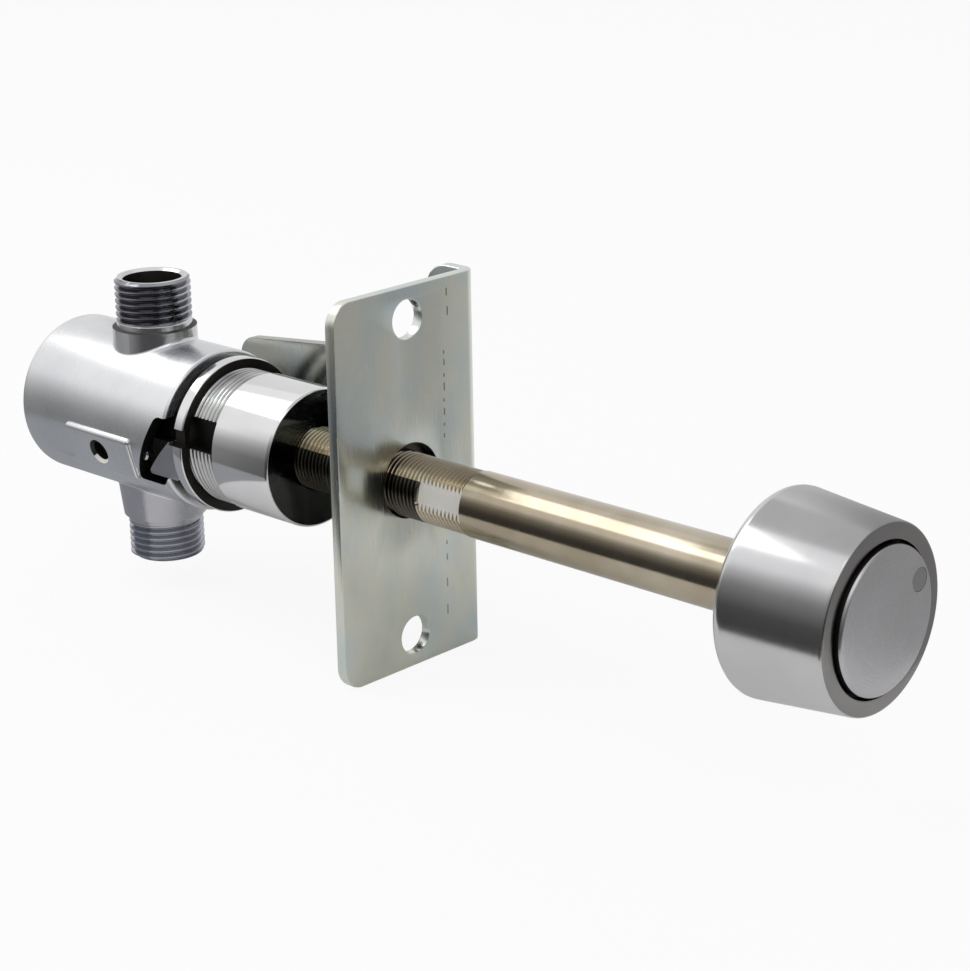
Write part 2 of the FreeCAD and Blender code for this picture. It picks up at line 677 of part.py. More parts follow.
def build_tube():
    """Extension tube, threaded at both ends and with two spanner flats."""
    length = tube_rear - tube_front
    front_thread = tube_end - size.gasket_thickness
    rear_thread = tube_rear + size.tube_thread_reach
    pitch = size.tube_thread_pitch
    front_turns = whole_turns(front_thread, pitch)
    rear_turns = whole_turns(rear_thread, pitch)
    crest = size.tube_thread_radius
    depth = size.tube_thread_depth
    front_start = front_thread - pitch * front_turns
    rear_start = length - rear_thread
    bore = size.tube_bore_radius
    rear_end = rear_start + pitch * rear_turns
    front_profile = [(bore, 0), (crest, 0)]
    front_profile += thread_corners(crest, depth, pitch, front_start, front_turns)
    front_profile += [(crest, front_thread), (bore, front_thread)]
    lengths = [
        turned("tube_front", front_profile),
        turned("tube_middle", [
            (bore, front_thread), (size.tube_radius, front_thread), (size.tube_radius, rear_start),
            (bore, rear_start),
        ]),
        turned("tube_rear", [(bore, rear_end), (crest, rear_end), (crest, length), (bore, length)]),
    ]
    # the long thread is drawn in short lengths, end to end
    low = rear_start
    for first in range(0, rear_turns, THREAD_RUN):
        turns = min(THREAD_RUN, rear_turns - first)
        high = low + pitch * turns
        corners = thread_corners(crest, depth, pitch, low, turns)
        lengths.append(turned(f"tube_thread_{first}", [(bore, low)] + corners + [(crest, high), (bore, high)]))
        low = high
    for piece in lengths:
        place(piece, y=tube_front)
    blank = joined("tube_blank", lengths)
    flats = []
    flat_distance = size.tube_radius - size.tube_flat_depth
    slab_depth = size.tube_flat_depth + size.free_clearance
    for side, name in ((-1, "near"), (1, "far")):
        slab = block(f"tube_flat_{name}", slab_depth, size.tube_flat_length, size.tube_radius * 2)
        angle = size.tube_flat_angle
        corner = -(flat_distance + slab_depth) if side < 0 else flat_distance
        # the slab is turned about Y, so its corner is worked out in the turned directions
        place(slab,
              x=corner * cosine(angle) - size.tube_radius * sine(angle),
              y=-(size.tube_thread_reach + size.free_clearance * 2),
              z=-(corner * sine(angle)) - size.tube_radius * cosine(angle),
              turn=(AXIS_Y, angle))
        flats.append(slab)
    keep(cut("extension_tube", blank, flats))


def build_bonnet(screw_hole):
    """Bonnet, smooth in front and threaded behind."""
    fit = size.cartridge_bore_radius
    pitch = size.bonnet_thread_pitch
    crest = size.bonnet_thread_radius
    turns = whole_turns(size.bonnet_length - size.bonnet_smooth_length, pitch)
    shoulder = size.bonnet_length - size.cartridge_depth
    profile = [
        (tube_fit, 0), (size.bonnet_radius, 0), (size.bonnet_radius, size.bonnet_smooth_length),
    ]
    profile += thread_corners(crest, size.bonnet_thread_depth, pitch, size.bonnet_smooth_length, turns)
    profile += [
        (crest, size.bonnet_length), (fit, size.bonnet_length), (fit, shoulder),
        (size.bonnet_front_cavity, shoulder),
        (size.bonnet_front_cavity, size.bonnet_front_wall), (tube_fit, size.bonnet_front_wall),
    ]
    body = turned("bonnet_blank", profile)
    soften(body, "Fillet", "bonnet_edge", ring_edge(size.bonnet_radius, 0), size.bonnet_edge_rounding)
    place(body, y=size.bonnet_front)
    keyway = block("keyway", size.keyway_depth + size.free_clearance,
                   size.bonnet_length - size.bonnet_smooth_length + size.free_clearance,
                   size.keyway_top - size.keyway_bottom)
    place(keyway, x=-(crest + size.free_clearance), y=size.bonnet_front + size.bonnet_smooth_length,
          z=size.keyway_bottom, turn=UPWARD)
    keep(cut("bonnet", body, [screw_hole, keyway]))


def build_lock_ring():
    """Round lock nut with one tongue that stands in the slot of the body."""
    ring = turned("lock_ring_blank", [
        (mouth_radius, 0), (ring_radius, 0),
        (ring_radius, size.ring_thickness), (mouth_radius, size.ring_thickness),
    ])
    front_edge = ring_edge(ring_radius, 0)
    rear_edge = ring_edge(ring_radius, size.ring_thickness)

    def at_rim(edge):
        return front_edge(edge) or rear_edge(edge)

    soften(ring, "Fillet", "lock_ring_edges", at_rim, size.ring_rounding)
    place(ring, y=ring_front)
    station = ring_front + size.ring_thickness / 2
    length = tongue_end - station
    shell = turned("tongue_shell", [
        (mouth_radius, 0), (ring_radius, 0), (ring_radius, length), (mouth_radius, length),
    ])
    place(shell, y=station)
    window = prism("tongue_window", "YZ_Plane", [
        (station, -size.tongue_front_bottom), (tongue_end, -size.tongue_rear_bottom),
        (tongue_end - size.tongue_lean, -size.tongue_rear_top), (station, size.tongue_front_top),
    ], body_radius, offset=-body_radius)
    place(window, turn=UPWARD)
    tongue = doc.addObject("Part::Common", "tongue")
    tongue.Base = shell
    tongue.Tool = window
    notch = block("ring_notch", body_radius, size.ring_thickness + size.free_clearance * 2,
                  size.notch_top - size.tongue_front_top)
    place(notch, x=-(ring_radius - size.notch_depth) - body_radius, y=ring_front - size.free_clearance,
          z=size.tongue_front_top, turn=UPWARD)
    keep(cut("lock_ring", joined("lock_ring_solid", [ring, tongue]), [notch]))


def port_blank(label, end, thread_length, collar_base, turn):
    """One male port, drawn from inside the barrel out to its end face."""
    collar_end = end - thread_length
    thread_start = collar_end + size.port_land
    crest = size.port_thread_radius
    chamfer = size.port_tip_chamfer
    turns = whole_turns(end - chamfer - thread_start, size.port_thread_pitch)
    profile = [(0, size.gallery_radius), (collar_base, size.gallery_radius)]
    profile += [(collar_base, size.port_collar_start)]
    profile += [(size.port_collar_radius, collar_end), (crest, collar_end)]
    profile += thread_corners(crest, size.port_thread_depth, size.port_thread_pitch, thread_start, turns)
    profile += [(crest, end - chamfer), (crest - chamfer, end), (0, end)]
    return place(turned(label, profile), y=port_station, turn=turn)


def port_bore(label, end, turn):
    """Bore of one port with its countersunk mouth."""
    widening = size.port_mouth_widening
    tool = turned(label, [
        (0, size.port_bore_floor), (size.port_bore_radius, size.port_bore_floor),
        (size.port_bore_radius, end - widening), (size.port_bore_radius + widening, end), (0, end),
    ])
    return place(tool, y=port_station, turn=turn)


def passage(label, offset, start, turn):
    """Drilled hole from the floor of a port bore into the gallery or the chamber."""
    tool = cylinder(label, size.passage_radius, size.port_bore_floor - start + size.free_clearance)
    direction = 1 if turn is UPWARD else -1
    return place(tool, y=port_station + offset, z=start * direction, turn=turn)


def at_saddle(edge):
    """Test for the line where a port meets the round barrel."""
    box = edge.BoundBox
    wide = min(box.XLength, box.YLength) > size.port_collar_radius.value
    drop = size.axis_drop.value
    reach = max(abs(box.ZMin + drop), abs(box.ZMax + drop))
    return wide and chamber_radius.value < reach < body_radius.value + EDGE_TOLERANCE


def build_valve_body():
    """Brass body: barrel, two ports and the side pad, then its bores, passages and slot."""
    barrel = turned("barrel", [
        (0, 0), (body_radius, 0), (body_radius, size.body_length), (0, size.body_length),
    ])
    rear_edge = ring_edge(body_radius, size.body_length)
    soften(barrel, "Fillet", "barrel_rear_edge", rear_edge, size.body_rear_rounding)
    soften(barrel, "Fillet", "barrel_front_edge", ring_edge(body_radius, 0), size.body_front_rounding)
    place(barrel, y=body_front)
    outlet = port_blank(
        "outlet_port", size.outlet_end, size.outlet_thread_length, size.outlet_collar_base, UPWARD)
    inlet = port_blank(
        "inlet_port", size.inlet_end, size.inlet_thread_length, size.inlet_collar_base, DOWNWARD)
    face = -pad_distance
    root = -chamber_radius
    half = size.pad_half_width
    chamfer = size.pad_chamfer
    pad = prism("side_pad", "XZ_Plane", [
        (root, -half), (face + chamfer, -half), (face, chamfer - half),
        (face, half - chamfer), (face + chamfer, half), (root, half),
    ], size.pad_length, reverse=True)
    place(pad, y=port_station - size.pad_lead, turn=(AXIS_Y, -size.pad_angle))
    blank = joined("valve_body_blank", [barrel, outlet, inlet, pad])
    doc.recompute()
    rounding = size.body_saddle_rounding.value
    saddles = [
        (number, rounding, rounding)
        for number, edge in enumerate(blank.Shape.Edges, start=1) if at_saddle(edge)
    ]
    rounded = doc.addObject("Part::Fillet", "valve_body_rounded")
    rounded.Base = blank
    rounded.Edges = saddles
    inside = turned("body_inside", [
        (0, 0), (mouth_radius, 0), (mouth_radius, size.mouth_depth),
        (size.gallery_radius, size.mouth_depth), (size.gallery_radius, web_front - body_front),
        (size.cartridge_bore_radius, web_front - body_front),
        (size.cartridge_bore_radius, chamber_front - body_front),
        (chamber_radius, chamber_front - body_front),
        (chamber_radius, chamber_rear - body_front), (0, chamber_rear - body_front),
    ])
    place(inside, y=body_front)
    outlet_start = size.gallery_radius - size.passage_radius / 2
    tools = [
        inside,
        port_bore("outlet_bore", size.outlet_end, UPWARD),
        port_bore("inlet_bore", size.inlet_end, DOWNWARD),
        passage("outlet_passage", -size.passage_offset, outlet_start, UPWARD),
        passage("inlet_passage", size.passage_offset, size.gallery_radius, DOWNWARD),
    ]
    slot_reach = body_radius + size.free_clearance
    slot_start = body_front - size.free_clearance
    slot = prism("tongue_slot", "YZ_Plane", [
        (slot_start, -size.slot_front_bottom), (slot_end, -size.slot_rear_bottom),
        (slot_end - size.slot_lean, size.slot_rear_top), (slot_start, size.slot_front_top),
    ], slot_reach / 2, offset=-slot_reach)
    top_corner = line_edge(y=slot_end - size.slot_lean, z=size.slot_rear_top)
    low_corner = line_edge(y=slot_end, z=size.slot_rear_bottom)

    def at_slot_corner(edge):
        return top_corner(edge) or low_corner(edge)

    soften(slot, "Fillet", "slot_corners", at_slot_corner, size.slot_corner_radius)
    tools.append(place(slot, turn=UPWARD))
    mouth_floor = pad_distance - size.regulator_mouth_depth
    mouth_chamfer = size.regulator_mouth_chamfer
    spindle_bore = turned("regulator_bore", [
        (0, regulator_tip - size.free_clearance),
        (size.regulator_bore_radius, regulator_tip - size.free_clearance),
        (size.regulator_bore_radius, mouth_floor), (regulator_mouth_radius, mouth_floor),
        (regulator_mouth_radius, pad_distance - mouth_chamfer),
        (regulator_mouth_radius + mouth_chamfer, pad_distance), (0, pad_distance),
    ])
    tools.append(place(spindle_bore, y=port_station, turn=pad_turn))
    keep(cut("valve_body", rounded, tools))


def build_regulator():
    """Flow regulator in the side pad: spindle, its seal and the ring that holds it in."""
    radius = size.regulator_bore_radius - size.running_clearance
    head = pad_distance - size.regulator_mouth_depth - size.running_clearance
    groove_width = size.small_ring_section * 2 + size.thread_clearance * 2
    groove_end = head - size.regulator_head_length
    groove_start = groove_end - groove_width
    groove_floor = radius - size.small_ring_section * 2
    blank = place(turned("regulator_blank", [
        (0, regulator_tip), (radius, regulator_tip), (radius, groove_start),
        (groove_floor, groove_start), (groove_floor, groove_end), (radius, groove_end),
        (radius, head), (0, head),
    ]), y=port_station, turn=pad_turn)
    angle = -(size.pad_angle + 90)
    half_cut = block("regulator_half_cut", size.regulator_bore_radius * 2, size.regulator_bore_radius,
                     size.regulator_tip_length)
    # the block's corner is shifted along the turned X direction, its Z runs outwards
    place(half_cut,
          x=-(size.regulator_bore_radius * cosine(angle)) + regulator_tip * sine(angle),
          y=port_station,
          z=size.regulator_bore_radius * sine(angle) + regulator_tip * cosine(angle),
          turn=(AXIS_Y, angle))
    slot_depth = size.regulator_slot_depth
    slot = block("regulator_slot", size.regulator_bore_radius * 2, size.regulator_slot_width, slot_depth)
    slot_floor = head - slot_depth
    place(slot,
          x=-(size.regulator_bore_radius * cosine(angle)) + slot_floor * sine(angle),
          y=port_station - size.regulator_slot_width / 2,
          z=size.regulator_bore_radius * sine(angle) + slot_floor * cosine(angle),
          turn=(AXIS_Y, angle))
    keep(cut("flow_regulator", blank, [half_cut, slot]))
    middle = (groove_start + groove_end) / 2
    seal_radius = groove_floor + size.small_ring_section
    seal = torus("regulator_seal", seal_radius, size.small_ring_section - size.thread_clearance / 2)
    keep(place(seal, x=middle * sine(angle), y=port_station, z=middle * cosine(angle), turn=pad_turn))
    floor = pad_distance - size.regulator_mouth_depth
    outside = regulator_mouth_radius - size.thread_clearance
    ring = turned("regulator_ring", [
        (size.regulator_ring_bore, floor), (outside, floor),
        (outside, floor + size.regulator_ring_thickness),
        (size.regulator_ring_bore, floor + size.regulator_ring_thickness),
    ])
    keep(place(ring, y=port_station, turn=pad_turn))


def build_gland():
    """Brass gland around the stem with its seal."""
    bore = size.stem_radius + size.running_clearance
    outside = size.cartridge_bore_radius - size.thread_clearance
    floor = bore + size.ring_section * 2
    middle = size.gland_thickness / 2
    low = middle - size.ring_section - size.thread_clearance
    high = middle + size.ring_section + size.thread_clearance
    gland = turned("gland", [
        (bore, 0), (outside, 0), (outside, size.gland_thickness), (bore, size.gland_thickness),
        (bore, high), (floor, high), (floor, low), (bore, low),
    ])
    keep(place(gland, y=shoulder_station))
    seal = torus("stem_seal", bore + size.ring_section, size.ring_section - size.thread_clearance / 2)
    keep(place(seal, y=shoulder_station + middle))


def build_housing():
    """Cartridge housing: timing chamber in front, outlet chamber and valve seat behind."""
    outside = cartridge_radius
    outlet_bore = cartridge_radius - size.outlet_wall
    start = housing_front
    groove_floor = size.cartridge_bore_radius - size.ring_section * 2 - size.thread_clearance
    half_groove = size.ring_section + size.thread_clearance
    front_seal = housing_front + size.housing_seal_inset
    rear_seal = (web_front + chamber_front) / 2
    flange = size.housing_flange_radius
    stem_bore = size.stem_radius + size.running_clearance
    lip = size.seat_radius + size.seat_lip * 2
    profile = [
        (timing_bore_radius, housing_front), (outside, housing_front),
        (outside, front_seal - half_groove), (groove_floor, front_seal - half_groove),
        (groove_floor, front_seal + half_groove), (outside, front_seal + half_groove),
        (outside, bonnet_rear), (flange, bonnet_rear), (flange, gallery_front), (outside, gallery_front),
        (outside, rear_seal - half_groove), (groove_floor, rear_seal - half_groove),
        (groove_floor, rear_seal + half_groove), (outside, rear_seal + half_groove),
        (outside, seat_rear), (lip, seat_rear), (lip, washer_front), (size.seat_radius, washer_front),
        (size.seat_radius, seat_front), (outlet_bore, seat_front),
        (outlet_bore, gallery_front), (stem_bore, gallery_front),
        (stem_bore, partition_front), (timing_bore_radius, partition_front),
    ]
    blank = place(turned("housing_blank", [(radius, along - start) for radius, along in profile]), y=start)
    windows = []
    window_front = gallery_front + size.window_inset
    spans = {"side": (outside * 2, size.window_width), "upright": (size.window_width, outside * 2)}
    for name, (across, high) in spans.items():
        window = block(f"window_{name}", across, size.window_length, high)
        windows.append(place(window, x=-(across / 2), y=window_front, z=-(high / 2), turn=UPWARD))
    needle_hole = cylinder("needle_hole", size.needle_radius + size.thread_clearance, size.partition_thickness)
    place(needle_hole, x=size.needle_offset, y=partition_front)
    keep(cut("cartridge_housing", blank, windows + [needle_hole]))
    needle_front = piston_front - size.free_clearance
    needle = cylinder("cleaning_needle", size.needle_radius, gallery_front - needle_front)
    keep(place(needle, x=size.needle_offset, y=needle_front))
    seal_radius = size.cartridge_bore_radius - size.ring_section - size.thread_clearance / 2
    seals = []
    for name, station in (("front", front_seal), ("rear", rear_seal)):
        seal = torus(f"housing_seal_{name}", seal_radius, size.ring_section - size.thread_clearance / 2)
        seals.append(place(seal, y=station))
    pair = doc.addObject("Part::Compound", "housing_seals")
    pair.Links = seals
    keep(pair)


def build_stem():
    """Valve stem with piston, lip seal, seat washer, its cup and the nut."""
    neck = size.stem_radius - size.stem_step
    chamfer = size.stem_step / 2
    washer_at = washer_front - stem_front
    cup_at = washer_at + size.washer_thickness
    nut_at = cup_at + size.cup_thickness
    end = nut_at + size.stem_nut_thickness
    stem = turned("valve_stem", [
        (0, 0), (size.stem_radius - chamfer, 0), (size.stem_radius, chamfer),
        (size.stem_radius, washer_at), (neck, washer_at), (neck, end), (0, end),
    ])
    keep(place(stem, y=stem_front))
    outside = timing_bore_radius - size.running_clearance
    seat = size.stem_radius + size.thread_clearance
    middle = size.piston_thickness / 2
    low = middle - size.lip_seal_width / 2
    high = middle + size.lip_seal_width / 2
    floor = outside - size.lip_seal_depth
    blank = place(turned("piston_blank", [
        (seat, 0), (outside, 0), (outside, low), (floor, low), (floor, high), (outside, high),
        (outside, size.piston_thickness), (seat, size.piston_thickness),
    ]), y=piston_front)
    bleed = cylinder("bleed_hole", size.needle_radius + size.running_clearance * 4, size.piston_thickness)
    keep(cut("piston", blank, [place(bleed, x=size.needle_offset, y=piston_front)]))
    gap = size.thread_clearance
    seal = turned("piston_seal", [
        (floor + gap, low + gap), (outside - gap * 2, low + gap), (outside, high - gap), (floor + gap, high - gap),
    ])
    keep(place(seal, y=piston_front))
    hole = neck + size.thread_clearance
    washer = turned("seat_washer", [
        (hole, 0), (size.washer_radius, 0), (size.washer_radius, size.washer_thickness),
        (hole, size.washer_thickness),
    ])
    keep(place(washer, y=washer_front))
    rim = size.washer_radius + size.thread_clearance
    cup = turned("washer_cup", [
        (hole, 0), (rim, 0), (rim, -(size.washer_thickness / 2)),
        (rim + size.cup_thickness / 2, -(size.washer_thickness / 2)),
        (rim + size.cup_thickness / 2, size.cup_thickness), (hole, size.cup_thickness),
    ])
    keep(place(cup, y=washer_rear))
    nut = turned("stem_nut", [
        (hole, 0), (size.stem_nut_radius, 0), (size.stem_nut_radius, size.stem_nut_thickness),
        (hole, size.stem_nut_thickness),
    ])
    keep(place(nut, y=washer_rear + size.cup_thickness))


def build_strainer():
    """Perforated cup over the inlet side of the valve seat."""
    outside = cartridge_radius
    inside = outside - size.strainer_wall
    length = chamber_rear - size.strainer_gap - seat_rear
    body = turned("inlet_strainer", [
        (inside, 0), (outside, 0), (outside, length), (0, length),
        (0, length - size.strainer_wall), (inside, length - size.strainer_wall),
    ])
    spaces = whole_turns(length, size.strainer_hole_pitch)
    circles = []
    for row in range(1, spaces):
        for side in (-1, 0, 1):
            circles.append((inside / 2 * side, length / spaces * row, size.strainer_hole_radius))
    drill(body, "strainer_holes_front", circles, offset=outside)
    drill(body, "strainer_holes_side", circles, role="YZ_Plane", offset=outside)
    keep(place(body, y=seat_rear))


def build_rod():
    """Push rod and the two guides inside the tube."""
    start = -(size.wall_gap + rod_front)
    length = stem_front - size.rod_play - start
    chamfer = size.rod_chamfer
    rod = turned("push_rod", [
        (0, 0), (size.rod_radius - chamfer, 0), (size.rod_radius, chamfer),
        (size.rod_radius, length - chamfer), (size.rod_radius - chamfer, length), (0, length),
    ])
    keep(place(rod, y=start))
    outside = size.tube_bore_radius - size.thread_clearance
    bore = size.rod_radius + size.running_clearance
    stations = {
        "rod_guide_front": tube_front + size.guide_inset,
        "rod_guide_rear": tube_rear - size.guide_inset - size.guide_length,
    }
    for name, station in stations.items():
        guide = turned(name, [
            (bore, 0), (outside, 0), (outside, size.guide_length), (bore, size.guide_length),
        ])
        keep(place(guide, y=station))


def build_head():
    """Head casing, its threaded hub, the wall gasket and the set screw."""
    rear = -size.wall_gap
    seat = hub_radius + size.thread_clearance
    casing = turned("casing_blank", [
        (seat, 0), (size.head_rear_radius, 0), (size.head_front_radius, size.head_length),
        (opening_radius, size.head_length), (opening_radius, lip_rear),
        (cavity_radius, lip_rear), (cavity_radius, hub_front), (seat, hub_front),
    ])
    rear_edge = ring_edge(size.head_rear_radius, 0)
    soften(casing, "Fillet", "casing_rear_edge", rear_edge, size.head_rear_rounding)
    front_edge = ring_edge(size.head_front_radius, size.head_length)
    soften(casing, "Fillet", "casing_front_edge", front_edge, size.head_front_rounding)
    place(casing, y=rear, turn=FORWARD)
    hub = turned("hub_blank", [
        (tube_fit, size.gasket_thickness), (hub_radius, size.gasket_thickness),
        (hub_radius, hub_front), (size.hub_boss_radius, hub_front),
        (size.hub_boss_radius, boss_front), (size.rod_radius + size.running_clearance, boss_front),
        (size.rod_radius + size.running_clearance, tube_end), (tube_fit, tube_end),
    ])
    place(hub, y=rear, turn=FORWARD)
    screw_y = rear - size.set_screw_station
    taper = (size.head_rear_radius - size.head_front_radius) * size.set_screw_station / size.head_length
    screw_end = size.head_rear_radius - taper - size.set_screw_sink
    screw_start = size.tube_thread_radius + size.thread_clearance
    holes = []
    for name in ("casing_screw_hole", "hub_screw_hole"):
        hole = cylinder(name, size.set_screw_radius + size.thread_clearance, size.head_rear_radius)
        holes.append(place(hole, y=screw_y, turn=DOWNWARD))
    keep(cut("head_casing", casing, holes[:1]))
    keep(cut("head_hub", hub, holes[1:]))
    gasket_bore = size.tube_radius + size.free_clearance
    gasket = turned("wall_gasket", [
        (gasket_bore, 0), (hub_radius, 0), (hub_radius, size.gasket_thickness),
        (gasket_bore, size.gasket_thickness),
    ])
    keep(place(gasket, y=rear, turn=FORWARD))
    screw = cylinder("set_screw_blank", size.set_screw_radius, screw_end - screw_start)
    place(screw, y=screw_y, z=-screw_start, turn=DOWNWARD)
    socket = doc.addObject("Part::Prism", "set_screw_socket")
    socket.Polygon = HEXAGON_SIDES
    bind(socket, "Circumradius", size.set_screw_socket * hexagon_corner)
    bind(socket, "Height", size.set_screw_socket_depth)
    place(socket, y=screw_y, z=-(screw_end - size.set_screw_socket_depth), turn=DOWNWARD)
    keep(cut("head_set_screw", screw, [socket]))


def build_button():
    """Push button, its marker disc and the thrust pad behind it."""
    rear = -size.wall_gap
    flange_front = lip_rear - size.free_clearance
    flange_rear = flange_front - size.button_flange_thickness
    flange = cavity_radius - size.running_clearance
    inside = size.button_radius - size.button_skirt_wall
    body = turned("button_blank", [
        (0, button_inner), (inside, button_inner), (inside, flange_rear), (flange, flange_rear),
        (flange, flange_front), (size.button_radius, flange_front),
        (size.button_radius, button_front), (0, button_front),
    ])
    edge = ring_edge(size.button_radius, button_front)
    soften(body, "Fillet", "button_edge", edge, size.button_edge_rounding)
    place(body, y=rear, turn=FORWARD)
    across = size.marker_distance * cosine(size.marker_angle)
    up = size.marker_distance * sine(size.marker_angle)
    face = rear - button_front
    seat = cylinder("marker_seat", size.marker_radius + size.thread_clearance, size.marker_depth)
    keep(cut("push_button", body, [place(seat, x=across, y=face, z=up)]))
    marker = cylinder("button_marker", size.marker_radius, size.marker_depth)
    keep(place(marker, x=across, y=face, z=up))
    disc = cylinder("thrust_pad", size.pad_disc_radius, size.pad_disc_thickness)
    keep(place(disc, y=rear - button_inner))


def build_springs():
    """Button spring in the head and return spring behind the piston."""
    button_length = button_inner - hub_front
    keep(coil("button_spring", size.button_spring_radius, size.button_spring_wire, button_length,
              size.button_spring_turns, -(size.wall_gap + button_inner)))
    keep(coil("return_spring", size.return_spring_radius, size.return_spring_wire,
              partition_front - piston_rear, size.return_spring_turns, piston_rear))


def build_lock_screw():
    """Screw through the bonnet wall, its end standing in the slot of the body."""
    start = size.cartridge_bore_radius + size.free_clearance
    end = size.bonnet_thread_radius + size.lock_screw_reach
    turn = (AXIS_Y, -90)
    blank = cylinder("lock_screw_blank", size.lock_screw_radius, end - start)
    place(blank, x=-start, y=lock_screw_station, z=-size.lock_screw_drop, turn=turn)
    socket = doc.addObject("Part::Prism", "lock_screw_socket")
    socket.Polygon = HEXAGON_SIDES
    bind(socket, "Circumradius", size.lock_screw_socket * hexagon_corner)
    bind(socket, "Height", size.lock_screw_socket_depth)
    socket_floor = end - size.lock_screw_socket_depth
    place(socket, x=-socket_floor, y=lock_screw_station, z=-size.lock_screw_drop, turn=turn)
    keep(cut("bonnet_lock_screw", blank, [socket]))
    hole = cylinder("lock_screw_hole", size.lock_screw_radius + size.thread_clearance, end)
    return place(hole, y=lock_screw_station, z=-size.lock_screw_drop, turn=turn)


def check_document():
    """Stops the build if any object failed or any node has no sound solid."""
    doc.recompute()
    for thing in doc.Objects:
        if "Invalid" in thing.State or "Error" in thing.State:
            raise RuntimeError(f"{thing.Label} failed: {thing.State}")
    for thing in nodes:
        shape = thing.Shape
        if shape.isNull() or not shape.isValid() or not shape.Solids:
            raise RuntimeError(f"{thing.Label} has no sound solid")


build_bracket()
build_plate_hardware()
build_tube()
lock_screw_hole = build_lock_screw()
build_bonnet(lock_screw_hole)
build_lock_ring()
build_valve_body()
build_regulator()
build_gland()
build_housing()
build_stem()
build_strainer()
build_rod()
build_head()
build_button()
build_springs()
check_document()
for node in nodes:
    node.Shape.exportStep(f"parts/{node.Label}.step")
    print(node.Label, "solids", len(node.Shape.Solids), "volume", round(node.Shape.Volume, 1))
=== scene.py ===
import json
import math
import bpy
from mathutils import Matrix, Vector


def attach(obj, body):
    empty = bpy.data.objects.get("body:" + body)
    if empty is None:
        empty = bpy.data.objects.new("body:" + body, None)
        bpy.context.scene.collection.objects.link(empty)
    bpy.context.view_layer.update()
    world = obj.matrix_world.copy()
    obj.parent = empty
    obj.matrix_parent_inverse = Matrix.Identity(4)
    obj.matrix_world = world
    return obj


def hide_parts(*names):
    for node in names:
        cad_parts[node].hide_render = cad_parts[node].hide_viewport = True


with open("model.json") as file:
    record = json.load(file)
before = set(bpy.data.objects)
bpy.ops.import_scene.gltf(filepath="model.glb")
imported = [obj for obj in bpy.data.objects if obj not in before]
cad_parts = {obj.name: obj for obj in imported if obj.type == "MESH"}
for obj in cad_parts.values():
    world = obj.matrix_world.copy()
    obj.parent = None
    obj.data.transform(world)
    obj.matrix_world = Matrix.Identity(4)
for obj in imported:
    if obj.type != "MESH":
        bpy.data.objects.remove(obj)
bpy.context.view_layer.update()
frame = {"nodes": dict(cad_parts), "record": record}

# Directions in which a turned piece is laid: its own Z axis turned to +Y, -Y, +Z, -Z or -X

BACKWARD = (-math.pi / 2, 0, 0)
FORWARD = (math.pi / 2, 0, 0)
UPWARD = (0, 0, 0)
DOWNWARD = (math.pi, 0, 0)
SIDEWAYS = (0, -math.pi / 2, 0)

# Sizes in millimetres. Y is counted back from the plate's front face, and the other two off the tap's axis

TAP_AXIS = Vector((0, 0, -1.1))
PLATE_BACK = 3
WASHER_BACK = 4.5
WALL_GAP = 114.8
TUBE_FRONT = -128
TUBE_BACK = 44
TUBE_RADIUS = 8.6
TUBE_CREST = 8.331
TUBE_THREAD_DEPTH = 0.856
TUBE_PITCH = 1.337
FRONT_THREAD_END = -116.4
REAR_THREAD_START = -24.2
BORE_ON_TUBE = 8.381
FLAT_TURN = math.radians(12)
FLAT_REACH = 7.2
FLAT_FRONT = -24.6
FLAT_BACK = -9.4
BONNET_FRONT = 34.2
BONNET_THREAD_START = 55.3
BONNET_BACK = 86
RING_FRONT = 65.1
RING_BACK = 68.6
RING_BORE = 18.45
LOCK_SCREW = (0, 82.75, -4.2)
BODY_FRONT = 72
BODY_BACK = 133.4
BARREL_RADIUS = 22.3
PORT_STATION = 99.1
OUTLET_END = 39.1
INLET_END = 41.0
COLLAR_RADIUS = 11.65
PORT_CREST = 10.4775
PORT_THREAD_DEPTH = 1.162
PORT_PITCH = 1.814
PAD_ANGLE = math.radians(16)


# Modelling

def deselect():
    if bpy.context.object and bpy.context.object.mode != "OBJECT":
        bpy.ops.object.mode_set(mode="OBJECT")
    bpy.ops.object.select_all(action="DESELECT")


def pick(piece):
    deselect()
    piece.select_set(True)
    bpy.context.view_layer.objects.active = piece


def named(name):
    """Names the new primitive and lays its place and size into its mesh."""
    piece = bpy.context.object
    piece.name = name
    bpy.ops.object.transform_apply(location=True, rotation=True, scale=True)
    return piece


def open_mesh():
    bpy.ops.object.mode_set(mode="EDIT")
    bpy.ops.mesh.select_all(action="SELECT")


def close_mesh():
    """Turns all faces outwards and leaves edit mode."""
    bpy.ops.mesh.select_all(action="SELECT")
    bpy.ops.mesh.normals_make_consistent(inside=False)
    bpy.ops.object.mode_set(mode="OBJECT")


def trim(spot, outwards):
    """Cuts the open mesh at a plane, drops what lies outwards of it and closes the cut."""
    bpy.ops.mesh.select_all(action="SELECT")
    bpy.ops.mesh.bisect(plane_co=[part / 1000 for part in spot], plane_no=outwards,
                        clear_outer=True, use_fill=True, threshold=1e-7)


def settle(piece, spot=(0, 0, 0), turn=UPWARD):
    """Lays a piece at a spot off the tap's axis and leaves its object at the origin, unturned."""
    pick(piece)
    piece.location = (TAP_AXIS + Vector(spot)) / 1000
    piece.rotation_euler = turn
    bpy.ops.object.transform_apply(location=True, rotation=True, scale=True)
    return piece


